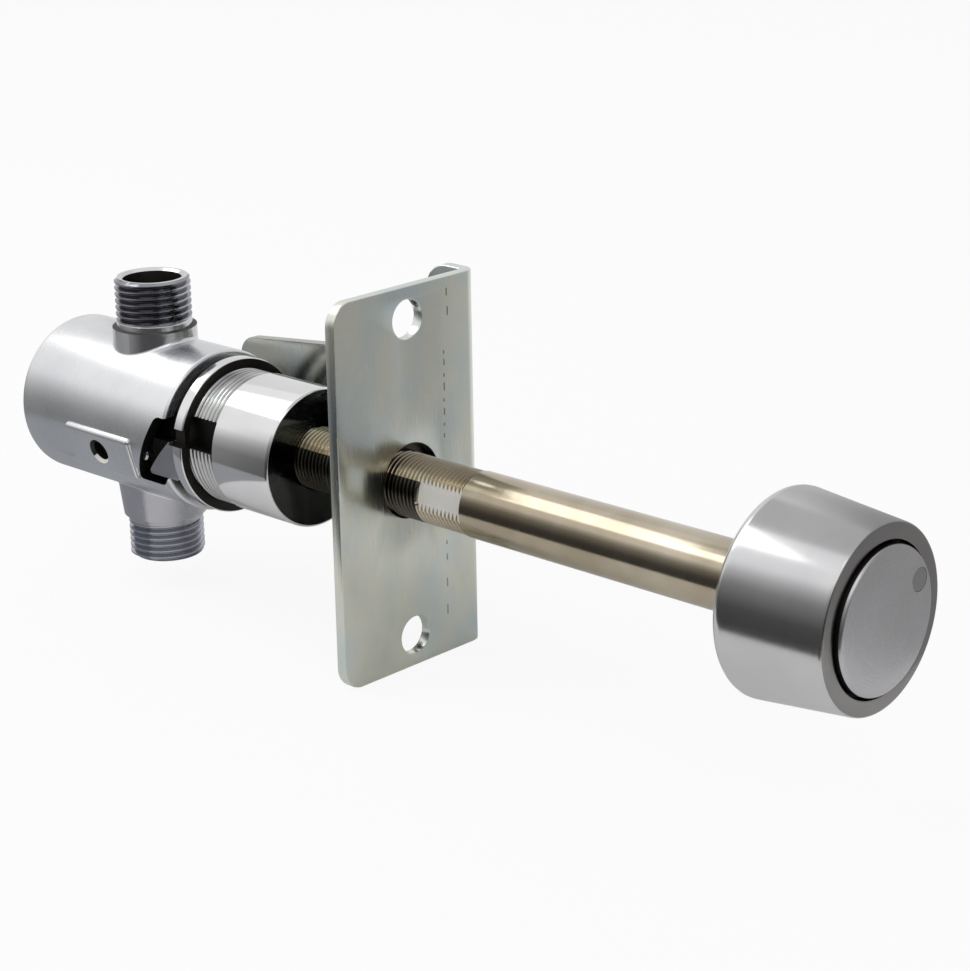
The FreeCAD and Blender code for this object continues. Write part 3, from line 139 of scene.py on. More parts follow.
def rounded(corners, steps=6):
    """Profile points from (radius, height, rounding) corners in millimetres."""
    points = []
    for k, corner in enumerate(corners):
        here = Vector(corner[:2])
        rounding = corner[2] if len(corner) > 2 else 0
        if not rounding:
            points.append(tuple(here))
            continue
        before = (Vector(corners[k - 1][:2]) - here).normalized()
        after = (Vector(corners[(k + 1) % len(corners)][:2]) - here).normalized()
        half = before.angle(after) / 2
        centre = here + (before + after).normalized() * (rounding / math.sin(half))
        start = here + before * (rounding / math.tan(half)) - centre
        end = here + after * (rounding / math.tan(half)) - centre
        sweep = start.angle(end)
        for step in range(steps + 1):
            share = step / steps
            spoke = start * math.sin((1 - share) * sweep) + end * math.sin(share * sweep)
            points.append(tuple(centre + spoke / math.sin(sweep)))
    return points


def lathe(name, corners, solid=False, segments=144):
    """A turned piece about its own Z axis: a circle extruded and resized from corner to corner.

    A hollow piece joins its last circle to the first one. A solid one closes both with a face.
    """
    points = rounded(corners)
    radius, height = points[0]
    deselect()
    bpy.ops.mesh.primitive_circle_add(vertices=segments, radius=radius / 1000, location=(0, 0, height / 1000))
    piece = named(name)
    open_mesh()
    for next_radius, next_height in points[1:]:
        rise = (0, 0, (next_height - height) / 1000)
        bpy.ops.mesh.extrude_region_move(TRANSFORM_OT_translate={"value": rise})
        ratio = next_radius / radius
        bpy.ops.transform.resize(value=(ratio, ratio, 1), center_override=(0, 0, next_height / 1000))
        radius, height = next_radius, next_height
    bpy.ops.mesh.select_all(action="DESELECT")
    bpy.ops.mesh.select_non_manifold()
    if solid:
        bpy.ops.mesh.fill_holes(sides=0)
    else:
        bpy.ops.mesh.bridge_edge_loops()
    close_mesh()
    return piece


def screw_thread(name, crest, depth, pitch, start, end, segments=96):
    """A solid length of screw thread about its own Z axis, cut square at both ends.

    One turn's profile is wound up. It starts a little over two turns early, so that no point of it
    lies in the plane of a cut.
    """
    crest_share, root_share, early_turns = 0.22, 0.06, 2.003
    flank = pitch * (1 - crest_share - root_share) / 2
    profile = ((-depth, flank), (0, pitch * root_share), (depth, flank), (0, pitch * crest_share))
    deselect()
    bpy.ops.mesh.primitive_plane_add(size=0.001)
    piece = bpy.context.object
    piece.name = name
    open_mesh()
    bpy.ops.mesh.merge(type="CENTER")
    bpy.ops.transform.translate(value=(crest / 1000, 0, (start - early_turns * pitch) / 1000))
    for outward, along in profile:
        step = (outward / 1000, 0, along / 1000)
        bpy.ops.mesh.extrude_region_move(TRANSFORM_OT_translate={"value": step})
    bpy.ops.object.mode_set(mode="OBJECT")
    lead = piece.modifiers.new("lead", "SCREW")
    lead.axis = "Z"
    lead.screw_offset = pitch / 1000
    lead.iterations = math.ceil((end - start) / pitch) + 4
    lead.steps = segments
    lead.render_steps = segments
    bpy.ops.object.modifier_apply(modifier="lead")
    open_mesh()
    bpy.ops.mesh.remove_doubles(threshold=1e-6)
    trim((0, 0, start), (0, 0, -1))
    trim((0, 0, end), (0, 0, 1))
    close_mesh()
    return piece


def bar(name, low, high, rounding=0, axis=0):
    """A box from its lowest to its highest corner, with the edges along one axis rounded."""
    deselect()
    middle = (Vector(low) + Vector(high)) / 2000
    bpy.ops.mesh.primitive_cube_add(size=1, location=middle)
    bpy.context.object.scale = (Vector(high) - Vector(low)) / 1000
    piece = named(name)
    if rounding:
        round_edges(piece, rounding, axis)
    return piece


def round_edges(piece, rounding, axis):
    pick(piece)
    for edge in piece.data.edges:
        one, other = (piece.data.vertices[v].co for v in edge.vertices)
        edge.select = abs((one - other).normalized()[axis]) > 0.99
    bpy.ops.object.mode_set(mode="EDIT")
    bpy.ops.mesh.bevel(offset=rounding / 1000, segments=6)
    bpy.ops.object.mode_set(mode="OBJECT")


def side_block(name, outline, low, high, rounding):
    """A block across the X axis, trimmed to an outline of (along, up) corners, front foot first."""
    along, up = zip(*outline)
    piece = bar(name, (low, min(along) - 1, min(up) - 1), (high, max(along) + 1, max(up) + 1))
    bpy.ops.object.mode_set(mode="EDIT")
    for here, following in zip(outline, outline[1:] + outline[:1]):
        trim((0, *here), (0, following[1] - here[1], here[0] - following[0]))
    close_mesh()
    round_edges(piece, rounding, 0)
    return piece


def work(piece, other, operation):
    """Joins, cuts or trims a piece with another one, which is used up.

    Points closer than a thousandth of a millimetre are merged, because the next cut can fail on them.
    """
    pick(piece)
    modifier = piece.modifiers.new("work", "BOOLEAN")
    modifier.operation = operation
    modifier.solver = "EXACT"
    modifier.object = other
    bpy.ops.object.modifier_apply(modifier="work")
    bpy.data.objects.remove(other)
    open_mesh()
    bpy.ops.mesh.remove_doubles(threshold=1e-6)
    bpy.ops.mesh.dissolve_degenerate(threshold=1e-6)
    bpy.ops.object.mode_set(mode="OBJECT")
    return piece


def ease(piece, width, angle, segments=2):
    """Breaks the sharp edges of a piece by a small round."""
    pick(piece)
    modifier = piece.modifiers.new("ease", "BEVEL")
    modifier.width = width / 1000
    modifier.segments = segments
    modifier.limit_method = "ANGLE"
    modifier.angle_limit = math.radians(angle)
    modifier.use_clamp_overlap = True
    bpy.ops.object.modifier_apply(modifier="ease")
    return piece


def complete(piece, body, slot, material, *nodes):
    """Smooths a finished piece, gives it its metal and hands it to its body."""
    pick(piece)
    open_mesh()
    bpy.ops.mesh.remove_doubles(threshold=2e-7)
    bpy.ops.object.mode_set(mode="OBJECT")
    bpy.ops.object.shade_smooth_by_angle(angle=math.radians(32))
    piece.data.materials.clear()
    piece.data.materials.append(material)
    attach(piece, body)
    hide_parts(*nodes)
    return piece


def lay_metals(piece, metals, choose):
    """Gives each face its metal: the piece's own or another one, chosen by the face's middle."""
    for metal in metals:
        piece.data.materials.append(metal)
    numbers = {metal.name: number for number, metal in enumerate(piece.data.materials)}
    for face in piece.data.polygons:
        face.material_index = numbers[choose(face.center * 1000 - TAP_AXIS).name]
    return piece


def off_axis(spot):
    """How far a spot lies from the tap's axis."""
    return math.hypot(spot.x, spot.z)


# Metals

def shader(name, colour, roughness, metallic):
    """A material with its main shader, its object coordinates and the means to add nodes."""
    material = bpy.data.materials.new(name)
    material.use_nodes = True
    tree = material.node_tree
    principled = tree.nodes["Principled BSDF"]
    principled.inputs["Base Color"].default_value = (*colour, 1)
    principled.inputs["Roughness"].default_value = roughness
    principled.inputs["Metallic"].default_value = metallic
    place = tree.nodes.new("ShaderNodeTexCoord").outputs["Object"]
    return material, tree, principled, place


def centred(tree, source):
    """Coordinates counted from the tap's axis."""
    mapping = tree.nodes.new("ShaderNodeMapping")
    mapping.vector_type = "TEXTURE"
    mapping.inputs["Location"].default_value = TAP_AXIS / 1000
    tree.links.new(source, mapping.inputs["Vector"])
    return mapping.outputs["Vector"]


def stretched(tree, source, scale):
    stretch = tree.nodes.new("ShaderNodeVectorMath")
    stretch.operation = "MULTIPLY"
    stretch.inputs[1].default_value = scale
    tree.links.new(source, stretch.inputs[0])
    return stretch.outputs["Vector"]


def around(tree, source):
    """Coordinates of a turned surface: distance from the Y axis, then distance along it."""
    split = tree.nodes.new("ShaderNodeSeparateXYZ")
    tree.links.new(source, split.inputs[0])
    flat = tree.nodes.new("ShaderNodeCombineXYZ")
    tree.links.new(split.outputs["X"], flat.inputs["X"])
    tree.links.new(split.outputs["Z"], flat.inputs["Y"])
    reach = tree.nodes.new("ShaderNodeVectorMath")
    reach.operation = "LENGTH"
    tree.links.new(flat.outputs[0], reach.inputs[0])
    joined = tree.nodes.new("ShaderNodeCombineXYZ")
    tree.links.new(reach.outputs["Value"], joined.inputs["X"])
    tree.links.new(split.outputs["Y"], joined.inputs["Y"])
    return joined.outputs[0]


def noise(tree, source, scale, detail, roughness=0.55):
    texture = tree.nodes.new("ShaderNodeTexNoise")
    texture.inputs["Scale"].default_value = scale
    texture.inputs["Detail"].default_value = detail
    texture.inputs["Roughness"].default_value = roughness
    tree.links.new(source, texture.inputs["Vector"])
    return texture.outputs["Fac"]


def graded(tree, value, stops):
    """A colour ramp of (position, colour or grey) stops."""
    ramp = tree.nodes.new("ShaderNodeValToRGB")
    elements = ramp.color_ramp.elements
    while len(elements) < len(stops):
        elements.new(0.5)
    for element, (position, colour) in zip(elements, stops):
        element.position = position
        grey = not isinstance(colour, tuple)
        element.color = (colour, colour, colour, 1) if grey else (*colour, 1)
    tree.links.new(value, ramp.inputs["Fac"])
    return ramp.outputs["Color"]


def blended(tree, share, one, other):
    blend = tree.nodes.new("ShaderNodeMix")
    blend.data_type = "RGBA"
    tree.links.new(share, blend.inputs["Factor"])
    tree.links.new(one, blend.inputs["A"])
    tree.links.new(other, blend.inputs["B"])
    return blend.outputs["Result"]


def spread(tree, value, low, high):
    """A noise value, which mostly lies from 0.3 to 0.7, brought to the given range."""
    change = tree.nodes.new("ShaderNodeMapRange")
    change.inputs["From Min"].default_value = 0.3
    change.inputs["From Max"].default_value = 0.7
    change.inputs["To Min"].default_value = low
    change.inputs["To Max"].default_value = high
    tree.links.new(value, change.inputs["Value"])
    return change.outputs["Result"]


def relief(tree, principled, height, distance):
    """Raises the surface by a height map, on top of what is already there."""
    bump = tree.nodes.new("ShaderNodeBump")
    bump.inputs["Distance"].default_value = distance / 1000
    tree.links.new(height, bump.inputs["Height"])
    if principled.inputs["Normal"].links:
        tree.links.new(principled.inputs["Normal"].links[0].from_socket, bump.inputs["Normal"])
    tree.links.new(bump.outputs["Normal"], principled.inputs["Normal"])


def turned_metal(name, colour, shade, roughness, mark_depth, waviness=0.0, metallic=1.0):
    """Metal with fine marks round its axis from turning or brushing.

    Its colour drifts between two tones and its roughness between two values. The depth of the
    marks and of the slow waves under the plating is in millimetres.
    """
    material, tree, principled, place = shader(name, colour, roughness[0], metallic)
    lines = noise(tree, around(tree, centred(tree, place)), 5200, 4)
    cloud = noise(tree, place, 38, 3)
    tree.links.new(graded(tree, cloud, [(0.35, shade), (0.65, colour)]), principled.inputs["Base Color"])
    tree.links.new(spread(tree, lines, *roughness), principled.inputs["Roughness"])
    relief(tree, principled, lines, mark_depth)
    if waviness:
        relief(tree, principled, noise(tree, place, 60, 1), waviness)
    return material


polished_chrome = turned_metal(
    "polished_chrome", (0.76, 0.76, 0.77), (0.70, 0.70, 0.71), (0.06, 0.12), 0.0004, waviness=0.01)
body_chrome = turned_metal(
    "body_chrome", (0.76, 0.77, 0.78), (0.66, 0.67, 0.69), (0.20, 0.34), 0.0016, waviness=0.02)
cast_chrome = turned_metal(
    "cast_chrome", (0.66, 0.66, 0.68), (0.54, 0.54, 0.57), (0.12, 0.24), 0.0008, waviness=0.03)
inlet_chrome = turned_metal(
    "inlet_chrome", (0.54, 0.54, 0.57), (0.46, 0.46, 0.49), (0.20, 0.32), 0.0010, waviness=0.02)
tube_nickel = turned_metal(
    "tube_nickel", (0.54, 0.48, 0.38), (0.40, 0.34, 0.25), (0.10, 0.22), 0.0014, waviness=0.03)
# The inlet thread's colour, also laid on the outlet thread's crests as a painted glint
inlet_thread_and_crest_glint = turned_metal("inlet_thread_and_crest_glint", (0.44, 0.45, 0.49), (0.32, 0.33, 0.37), (0.14, 0.28), 0.0010)
# A darker copy of the thread metal: painted shade on the outlet thread's roots and flanks
outlet_thread_painted_shade = turned_metal("outlet_thread_painted_shade", (0.30, 0.30, 0.33), (0.10, 0.10, 0.12), (0.08, 0.20), 0.0010)
bonnet_thread = turned_metal("bonnet_thread", (0.66, 0.66, 0.66), (0.48, 0.48, 0.48), (0.10, 0.22), 0.0010)
# Satin of the lock ring's tongue, also laid as painted shade on the pad's front face
tongue_satin_and_shade = turned_metal("tongue_satin_and_shade", (0.36, 0.37, 0.40), (0.30, 0.31, 0.34), (0.45, 0.55), 0.0012)
# Near-black painted shade, laid in bores, slots, gaps and hollow insides where shade falls
painted_shade = turned_metal("painted_shade", (0.050, 0.047, 0.042), (0.028, 0.026, 0.024), (0.40, 0.55), 0.0020)
# Near-black painted reflection for the bonnet's front face, standing in for the shaded plate it mirrors
painted_dark_reflection = turned_metal("painted_dark_reflection", (0.10, 0.11, 0.11), (0.06, 0.06, 0.06), (0.06, 0.14), 0.0008)
rim_satin = turned_metal("rim_satin", (0.33, 0.32, 0.31), (0.29, 0.28, 0.28), (0.16, 0.26), 0.0012)
head_satin = turned_metal("head_satin", (0.66, 0.66, 0.67), (0.60, 0.60, 0.61), (0.14, 0.24), 0.0014)
button_satin = turned_metal("button_satin", (0.60, 0.60, 0.62), (0.55, 0.55, 0.56), (0.24, 0.34), 0.0012)
marker_satin = turned_metal("marker_satin", (0.42, 0.41, 0.41), (0.36, 0.35, 0.35), (0.30, 0.40), 0.0010)
# Near-black painted shade for the plate's tube hole, the washer behind the plate and the thread by the plate
painted_shade_nickel = turned_metal("painted_shade_nickel", (0.10, 0.09, 0.075), (0.05, 0.045, 0.04), (0.14, 0.28), 0.0014)
# Pale, half-metallic face: the tube's milled flats, made paler as painted sheen, and a painted glint on the
# lip of the pad's hole
milled_flat_and_glint = turned_metal(
    "milled_flat_and_glint", (0.82, 0.80, 0.75), (0.70, 0.68, 0.63), (0.40, 0.55), 0.0040, metallic=0.3)
bare_brass = turned_metal("bare_brass", (0.70, 0.55, 0.28), (0.62, 0.46, 0.22), (0.18, 0.30), 0.0020)
bright_steel = turned_metal("bright_steel", (0.62, 0.62, 0.62), (0.54, 0.54, 0.54), (0.16, 0.28), 0.0015)

# Blue, green and yellow tones of bright zinc, each with its place in the clouds

ZINC_TONES = [
    (0.30, (0.66, 0.75, 0.78)), (0.45, (0.76, 0.81, 0.77)),
    (0.58, (0.84, 0.84, 0.74)), (0.72, (0.74, 0.80, 0.72)),
]


def make_zinc(name, shade):
    """Zinc-plated sheet: a fine grain down the sheet and faint yellow and blue clouds."""
    material, tree, principled, place = shader(name, (0.6, 0.6, 0.58), 0.3, metallic=1.0)
    cloud = noise(tree, stretched(tree, place, (1, 1, 0.7)), 42, 3, 0.6)
    grain = noise(tree, stretched(tree, place, (1, 1, 0.03)), 3600, 3)
    tones = [(position, tuple(part * shade for part in tone)) for position, tone in ZINC_TONES]
    tree.links.new(graded(tree, cloud, tones), principled.inputs["Base Color"])
    tree.links.new(spread(tree, grain, 0.18, 0.28), principled.inputs["Roughness"])
    relief(tree, principled, grain, 0.0010)
    relief(tree, principled, noise(tree, place, 160, 2), 0.006)
    return material


def make_plain(name, colour, roughness, grain):
    """Moulded plastic or rubber with a fine uneven surface."""
    material, tree, principled, place = shader(name, colour, roughness, metallic=0.0)
    cloud = noise(tree, place, 120, 3)
    darker = tuple(part * 0.85 for part in colour)
    tree.links.new(graded(tree, cloud, [(0.35, darker), (0.65, colour)]), principled.inputs["Base Color"])
    relief(tree, principled, noise(tree, place, 2500, 2), grain)
    return material


zinc_plate = make_zinc("zinc_plate", 0.88)
# A darker copy of the zinc: painted shade for the bending marks and the plate's back side
painted_shade_zinc = make_zinc("painted_shade_zinc", 0.42)
acetal = make_plain("acetal", (0.85, 0.84, 0.80), 0.45, 0.004)
rubber = make_plain("rubber", (0.035, 0.035, 0.035), 0.6, 0.01)

# The hidden pieces keep their shape and take their metal, plastic or rubber

NODE_MATERIALS = {
    "brass": bare_brass, "stainless": bright_steel, "acetal": acetal, "rubber": rubber,
    "zinc_plate": zinc_plate, "body_chrome": body_chrome, "head_satin": head_satin,
    "button_satin": button_satin, "marker_grey": marker_satin, "tube_nickel": tube_nickel,
}
slots = {entry["node"]: entry["material_slot"] for entry in frame["record"]["subparts"]}
for name, node in frame["nodes"].items():
    for number in range(len(node.material_slots)):
        node.material_slots[number].material = NODE_MATERIALS[slots[name]]
# The regulator and its ring, deep in the pad's hole, take the near-black painted shade
for name in ("flow_regulator", "regulator_ring"):
    frame["nodes"][name].material_slots[0].material = painted_shade


# Wall plate

# Marks of the bending tool: place across the plate, place up it and length

PLATE_DENTS = [
    (14.0, 46.5, 2.0), (14.2, 41.5, 2.4), (12.6, 31.0, 0.9), (12.6, 28.4, 1.6), (12.5, 25.0, 1.0),
    (12.5, 22.0, 2.2), (12.4, 18.4, 0.8), (12.4, 15.4, 1.8), (12.3, 12.0, 0.8), (12.2, 9.0, 1.2),
    (12.2, -14.0, 1.8), (12.2, -20.0, 1.0), (12.2, -24.0, 1.6), (12.1, -31.0, 2.4), (12.0, -38.5, 2.6),
]


def make_bracket():
    """The pressed plate, with its edges broken and the marks of the bending tool pressed in."""
    node = frame["nodes"]["mounting_bracket"]
    piece = bpy.data.objects.new("wall_plate", node.data.copy())
    bpy.context.scene.collection.objects.link(piece)
    pick(piece)
    open_mesh()
    bpy.ops.mesh.customdata_custom_splitnormals_clear()
    bpy.ops.mesh.remove_doubles(threshold=1e-6)
    bpy.ops.mesh.dissolve_limited(angle_limit=math.radians(0.5))
    bpy.ops.object.mode_set(mode="OBJECT")
    ease(piece, 0.35, angle=50, segments=3)
    depth, half_width = 0.12, 0.22
    for k, (across, up, length) in enumerate(PLATE_DENTS):
        low = (across - half_width, -0.5, up - length / 2)
        high = (across + half_width, depth, up + length / 2)
        work(piece, bar(f"dent_{k}", low, high, 0.1, 1), "DIFFERENCE")
    complete(piece, "tap", "zinc_plate", zinc_plate, "mounting_bracket")

    def choose(spot):
        # The walls of the tube's hole take near-black painted shade
        in_tube_hole = 0.4 < spot.y < PLATE_BACK - 0.4 and math.hypot(spot.x, spot.z + TAP_AXIS.z) < 12
        if in_tube_hole:
            return painted_shade_nickel
        # The bending marks and the plate's back, flange and tab take a darker zinc as painted shade
        in_dent = 0.02 < spot.y < 0.2 and 11 < spot.x < 15
        on_flange_or_tab = spot.y > PLATE_BACK + 0.3 and spot.z < 49
        return painted_shade_zinc if in_dent or on_flange_or_tab else zinc_plate

    return lay_metals(piece, [painted_shade_nickel, painted_shade_zinc], choose)


def make_plate_nut():
    """The thin hexagon nut, chamfered on both faces.

    The cones that chamfer it run past its faces, because a cut can fail on faces in one plane.
    """
    across_flats, thickness = 24, 5.5
    corner = across_flats / math.cos(math.radians(30))
    deselect()
    bpy.ops.mesh.primitive_cylinder_add(
        vertices=6, radius=corner / 2000, depth=thickness / 1000, location=(0, 0, thickness / 2000))
    piece = named("thin_nut")
    crown = lathe("nut_crown", [
        (12.021, -0.1), (13.9, 0.95), (13.9, 4.55), (12.021, thickness + 0.1),
    ], solid=True)
    work(piece, crown, "INTERSECT")
    bore = lathe("nut_bore", [
        (9.1, -0.1), (BORE_ON_TUBE, 0.65), (BORE_ON_TUBE, 4.85), (9.1, thickness + 0.1),
    ], solid=True)
    work(piece, bore, "DIFFERENCE")
    ease(piece, 0.12, angle=25)
    settle(piece, (0, WASHER_BACK, 0), BACKWARD)
    return complete(piece, "tap", "zinc_plate", bright_steel, "plate_nut")


def make_plate_washer():
    thickness = WASHER_BACK - PLATE_BACK
    piece = lathe("plate_ring", [
        (BORE_ON_TUBE, 0, 0.15), (14, 0, 0.35), (14, thickness, 0.35), (BORE_ON_TUBE, thickness, 0.15),
    ])
    settle(piece, (0, PLATE_BACK, 0), BACKWARD)
    # The washer behind the plate takes the near-black painted shade
    return complete(piece, "tap", "zinc_plate", painted_shade_nickel, "plate_washer")


# Tube

def make_tube():
    """The long tube: plain pipe, a thread at each end, a bore and two spanner flats."""
    piece = lathe("long_tube", [
        (TUBE_CREST, FRONT_THREAD_END - 0.2), (TUBE_CREST, FRONT_THREAD_END + 0.1),
        (TUBE_RADIUS, FRONT_THREAD_END + 0.2), (TUBE_RADIUS, REAR_THREAD_START - 0.15),
        (8.35, REAR_THREAD_START + 0.2),
    ], solid=True)
    settle(piece, turn=BACKWARD)
    threads = (
        ("rear_thread", REAR_THREAD_START, TUBE_BACK, 96), ("front_thread", TUBE_FRONT, FRONT_THREAD_END, 64),
    )
    for name, start, end, segments in threads:
        thread = screw_thread(name, TUBE_CREST, TUBE_THREAD_DEPTH, TUBE_PITCH, start, end, segments)
        work(piece, settle(thread, turn=BACKWARD), "UNION")
    bore = lathe("tube_bore", [
        (6.9, TUBE_FRONT - 0.1), (6.3, TUBE_FRONT + 0.6), (6.3, TUBE_BACK - 0.6), (6.9, TUBE_BACK + 0.1),
    ], solid=True, segments=96)
    work(piece, settle(bore, turn=BACKWARD), "DIFFERENCE")
    middle = (FLAT_FRONT + FLAT_BACK) / 2
    half_length = (FLAT_BACK - FLAT_FRONT) / 2
    for side in (-1, 1):
        slab = bar(f"flat_{side}", (-1, -half_length, -12), (1, half_length, 12), 0.4, 2)
        spot = Matrix.Rotation(FLAT_TURN, 3, "Y") @ Vector(((FLAT_REACH + 1) * side, 0, 0))
        settle(slab, spot + Vector((0, middle, 0)), (0, FLAT_TURN, 0))
        work(piece, slab, "DIFFERENCE")
    complete(piece, "tap", "tube_nickel", tube_nickel, "extension_tube")

    def choose(spot):
        off_flat = spot.x * math.cos(FLAT_TURN) - spot.z * math.sin(FLAT_TURN)
        along_flat = FLAT_FRONT + 0.1 < spot.y < FLAT_BACK - 0.1
        # The milled flats take the pale metal: real milled faces, made paler as painted sheen
        if along_flat and FLAT_REACH - 0.1 < abs(off_flat) < FLAT_REACH + 0.1:
            return milled_flat_and_glint
        # The thread's lower side next to the plate takes near-black painted shade
        return painted_shade_nickel if spot.y > FLAT_BACK and spot.z < 4.5 else tube_nickel

    return lay_metals(piece, [milled_flat_and_glint, painted_shade_nickel], choose)


# Bonnet, lock ring and lock screw

def make_bonnet():
    """The sleeve on the tube: smooth in front, threaded behind, with one keyway along the thread."""
    smooth_end, keyway_low, keyway_high, keyway_floor = 55.5, 0.6, 9, -15.4
    piece = lathe("bonnet_sleeve", [
        (9.2, BONNET_FRONT), (18.75, BONNET_FRONT, 0.8), (18.75, smooth_end), (17.9, smooth_end + 0.2),
    ], solid=True, segments=192)
    thread = screw_thread("bonnet_thread", 18.4, 0.92, 1.5, BONNET_THREAD_START, BONNET_BACK, 120)
    work(piece, thread, "UNION")
    inside = lathe("bonnet_inside", [
        (9.0, BONNET_FRONT - 0.2), (BORE_ON_TUBE, 34.8), (BORE_ON_TUBE, 40.2), (10.5, 40.2),
        (10.5, 56), (13, 56), (13, BONNET_BACK + 0.2),
    ], solid=True)
    work(piece, inside, "DIFFERENCE")
    settle(piece, turn=BACKWARD)
    hole = lathe("screw_hole", [(1.85, 0), (1.85, 22)], True, 48)
    work(piece, settle(hole, LOCK_SCREW, SIDEWAYS), "DIFFERENCE")
    keyway = bar("keyway", (-20, smooth_end, keyway_low), (keyway_floor, BONNET_BACK + 2, keyway_high))
    work(piece, settle(keyway), "DIFFERENCE")
    complete(piece, "tap", "body_chrome", polished_chrome, "bonnet")

    def choose(spot):
        # The front face takes the painted dark reflection
        if spot.y < BONNET_FRONT + 0.1 and off_axis(spot) < 18.2:
            return painted_dark_reflection
        if spot.y < smooth_end + 0.02:
            return polished_chrome
        # The keyway and the thread behind the lock ring take near-black painted shade
        in_keyway = spot.x < -12 and keyway_low - 0.05 < spot.z < keyway_high + 0.05
        behind_ring = spot.y > 66
        return painted_shade if in_keyway or behind_ring else bonnet_thread

    return lay_metals(piece, [bonnet_thread, painted_shade, painted_dark_reflection], choose)


def make_lock_ring():
    """The lock ring with its tongue, all edges lightly rounded."""
    notch_low, notch_high, notch_floor = 1.3, 6, -19.6
    piece = lathe("lock_nut", [
        (RING_BORE, RING_FRONT, 0.2), (21.3, RING_FRONT, 0.4),
        (21.3, RING_BACK, 0.4), (RING_BORE, RING_BACK, 0.2),
    ], segments=192)
    tongue = lathe("tongue", [(18.5, 66.8), (21.25, 66.8), (21.25, 80.5), (18.5, 80.5)], segments=192)
    for solid in (piece, tongue):
        settle(solid, turn=BACKWARD)
    window = side_block("tongue_window", [(66, -5.6), (80.5, -8.3), (78.6, -0.9), (66, 1.4)], -25, -10, 0.6)
    work(tongue, settle(window), "INTERSECT")
    ease(tongue, 0.3, angle=50, segments=3)
    work(piece, tongue, "UNION")
    notch = bar("ring_notch", (-40, 64, notch_low), (notch_floor, 70, notch_high))
    work(piece, settle(notch), "DIFFERENCE")
    complete(piece, "tap", "body_chrome", polished_chrome, "lock_ring")

    def choose(spot):
        if spot.y > RING_BACK + 0.1:
            return tongue_satin_and_shade
        # The ring's front face and its notch take near-black painted shade
        in_front = spot.y < RING_FRONT + 0.1 and off_axis(spot) < 20.95
        in_notch = spot.x < -15 and notch_low - 0.05 < spot.z < notch_high + 0.05
        return painted_shade if in_front or in_notch else polished_chrome

    return lay_metals(piece, [painted_shade, tongue_satin_and_shade], choose)


def make_lock_screw():
    piece = lathe("grub_screw", [(1.5, 13.3), (1.8, 13.7), (1.8, 19.55), (1.35, 20.0)], True, 48)
    socket = lathe("socket", [(0.924, 18.4), (0.924, 20.4)], True, 6)
    work(piece, socket, "DIFFERENCE")
    settle(piece, LOCK_SCREW, SIDEWAYS)
    return complete(piece, "tap", "stainless", bright_steel, "bonnet_lock_screw")


# Valve body

def saddle_collar(name, end, foot_radius):
    """A port's collar with its foot flowing into the round barrel.

    The circle is extruded down ring by ring. The lower rings then follow a ball of the rounding's
    radius that rolls in the corner between collar and barrel. The last ring lies inside the barrel,
    flat, so that the collar closes there.
    """
    barrel = BARREL_RADIUS - 0.08
    rounding, steps, ring_gap, foot_height = 0.9, 7, 0.5, 18
    slope = (foot_radius - COLLAR_RADIUS) / (end - foot_height)
    last = steps + 2
    rings = [(COLLAR_RADIUS, end)] + [(COLLAR_RADIUS, end - ring_gap * (k + 1)) for k in range(last)]
    piece = lathe(name, rings, solid=True)
    for vertex in piece.data.vertices:
        ring = round((end - vertex.co.z * 1000) / ring_gap)
        if ring < 1:
            continue
        angle = math.atan2(vertex.co.y, vertex.co.x)
        height = barrel
        for _ in range(4):
            radius = COLLAR_RADIUS + slope * (end - height)
            reach = (radius + rounding) * math.cos(angle)
            height = math.sqrt((barrel + rounding) ** 2 - reach ** 2)
        ball = Vector(((radius + rounding) * math.cos(angle), (radius + rounding) * math.sin(angle), height))
        on_collar = Vector((radius * math.cos(angle), radius * math.sin(angle), height))
        on_barrel = Vector((
            ball.x * barrel / (barrel + rounding), ball.y, ball.z * barrel / (barrel + rounding),
        ))
        share = min(ring - 1, steps) / steps
        start, finish = on_collar - ball, on_barrel - ball
        sweep = start.angle(finish)
        spoke = (start * math.sin((1 - share) * sweep) + finish * math.sin(share * sweep)) / math.sin(sweep)
        spot = ball + spoke
        if ring == last:
            spot = Vector((on_barrel.x * 0.8, on_barrel.y * 0.8, 14))
        vertex.co = spot / 1000
    return piece


def add_port(piece, name, end, collar_end, foot_radius, turn):
    """Joins one male port to the body: collar, plain land, then the thread with its chamfered tip."""
    spot = (0, PORT_STATION, 0)
    work(piece, settle(saddle_collar(name, collar_end, foot_radius), spot, turn), "UNION")
    land = lathe(name + "_land", [
        (10.44, collar_end - 1), (10.44, collar_end + 1.6), (9.9, collar_end + 2.2),
    ], solid=True)
    work(piece, settle(land, spot, turn), "UNION")
    thread = screw_thread(
        name + "_thread", PORT_CREST, PORT_THREAD_DEPTH, PORT_PITCH, collar_end + 1.4, end)
    tip = lathe(name + "_tip", [(12, collar_end - 1), (12, end - 2.0), (9.1875, end + 0.5)], solid=True)
    work(thread, tip, "INTERSECT")
    work(piece, settle(thread, spot, turn), "UNION")


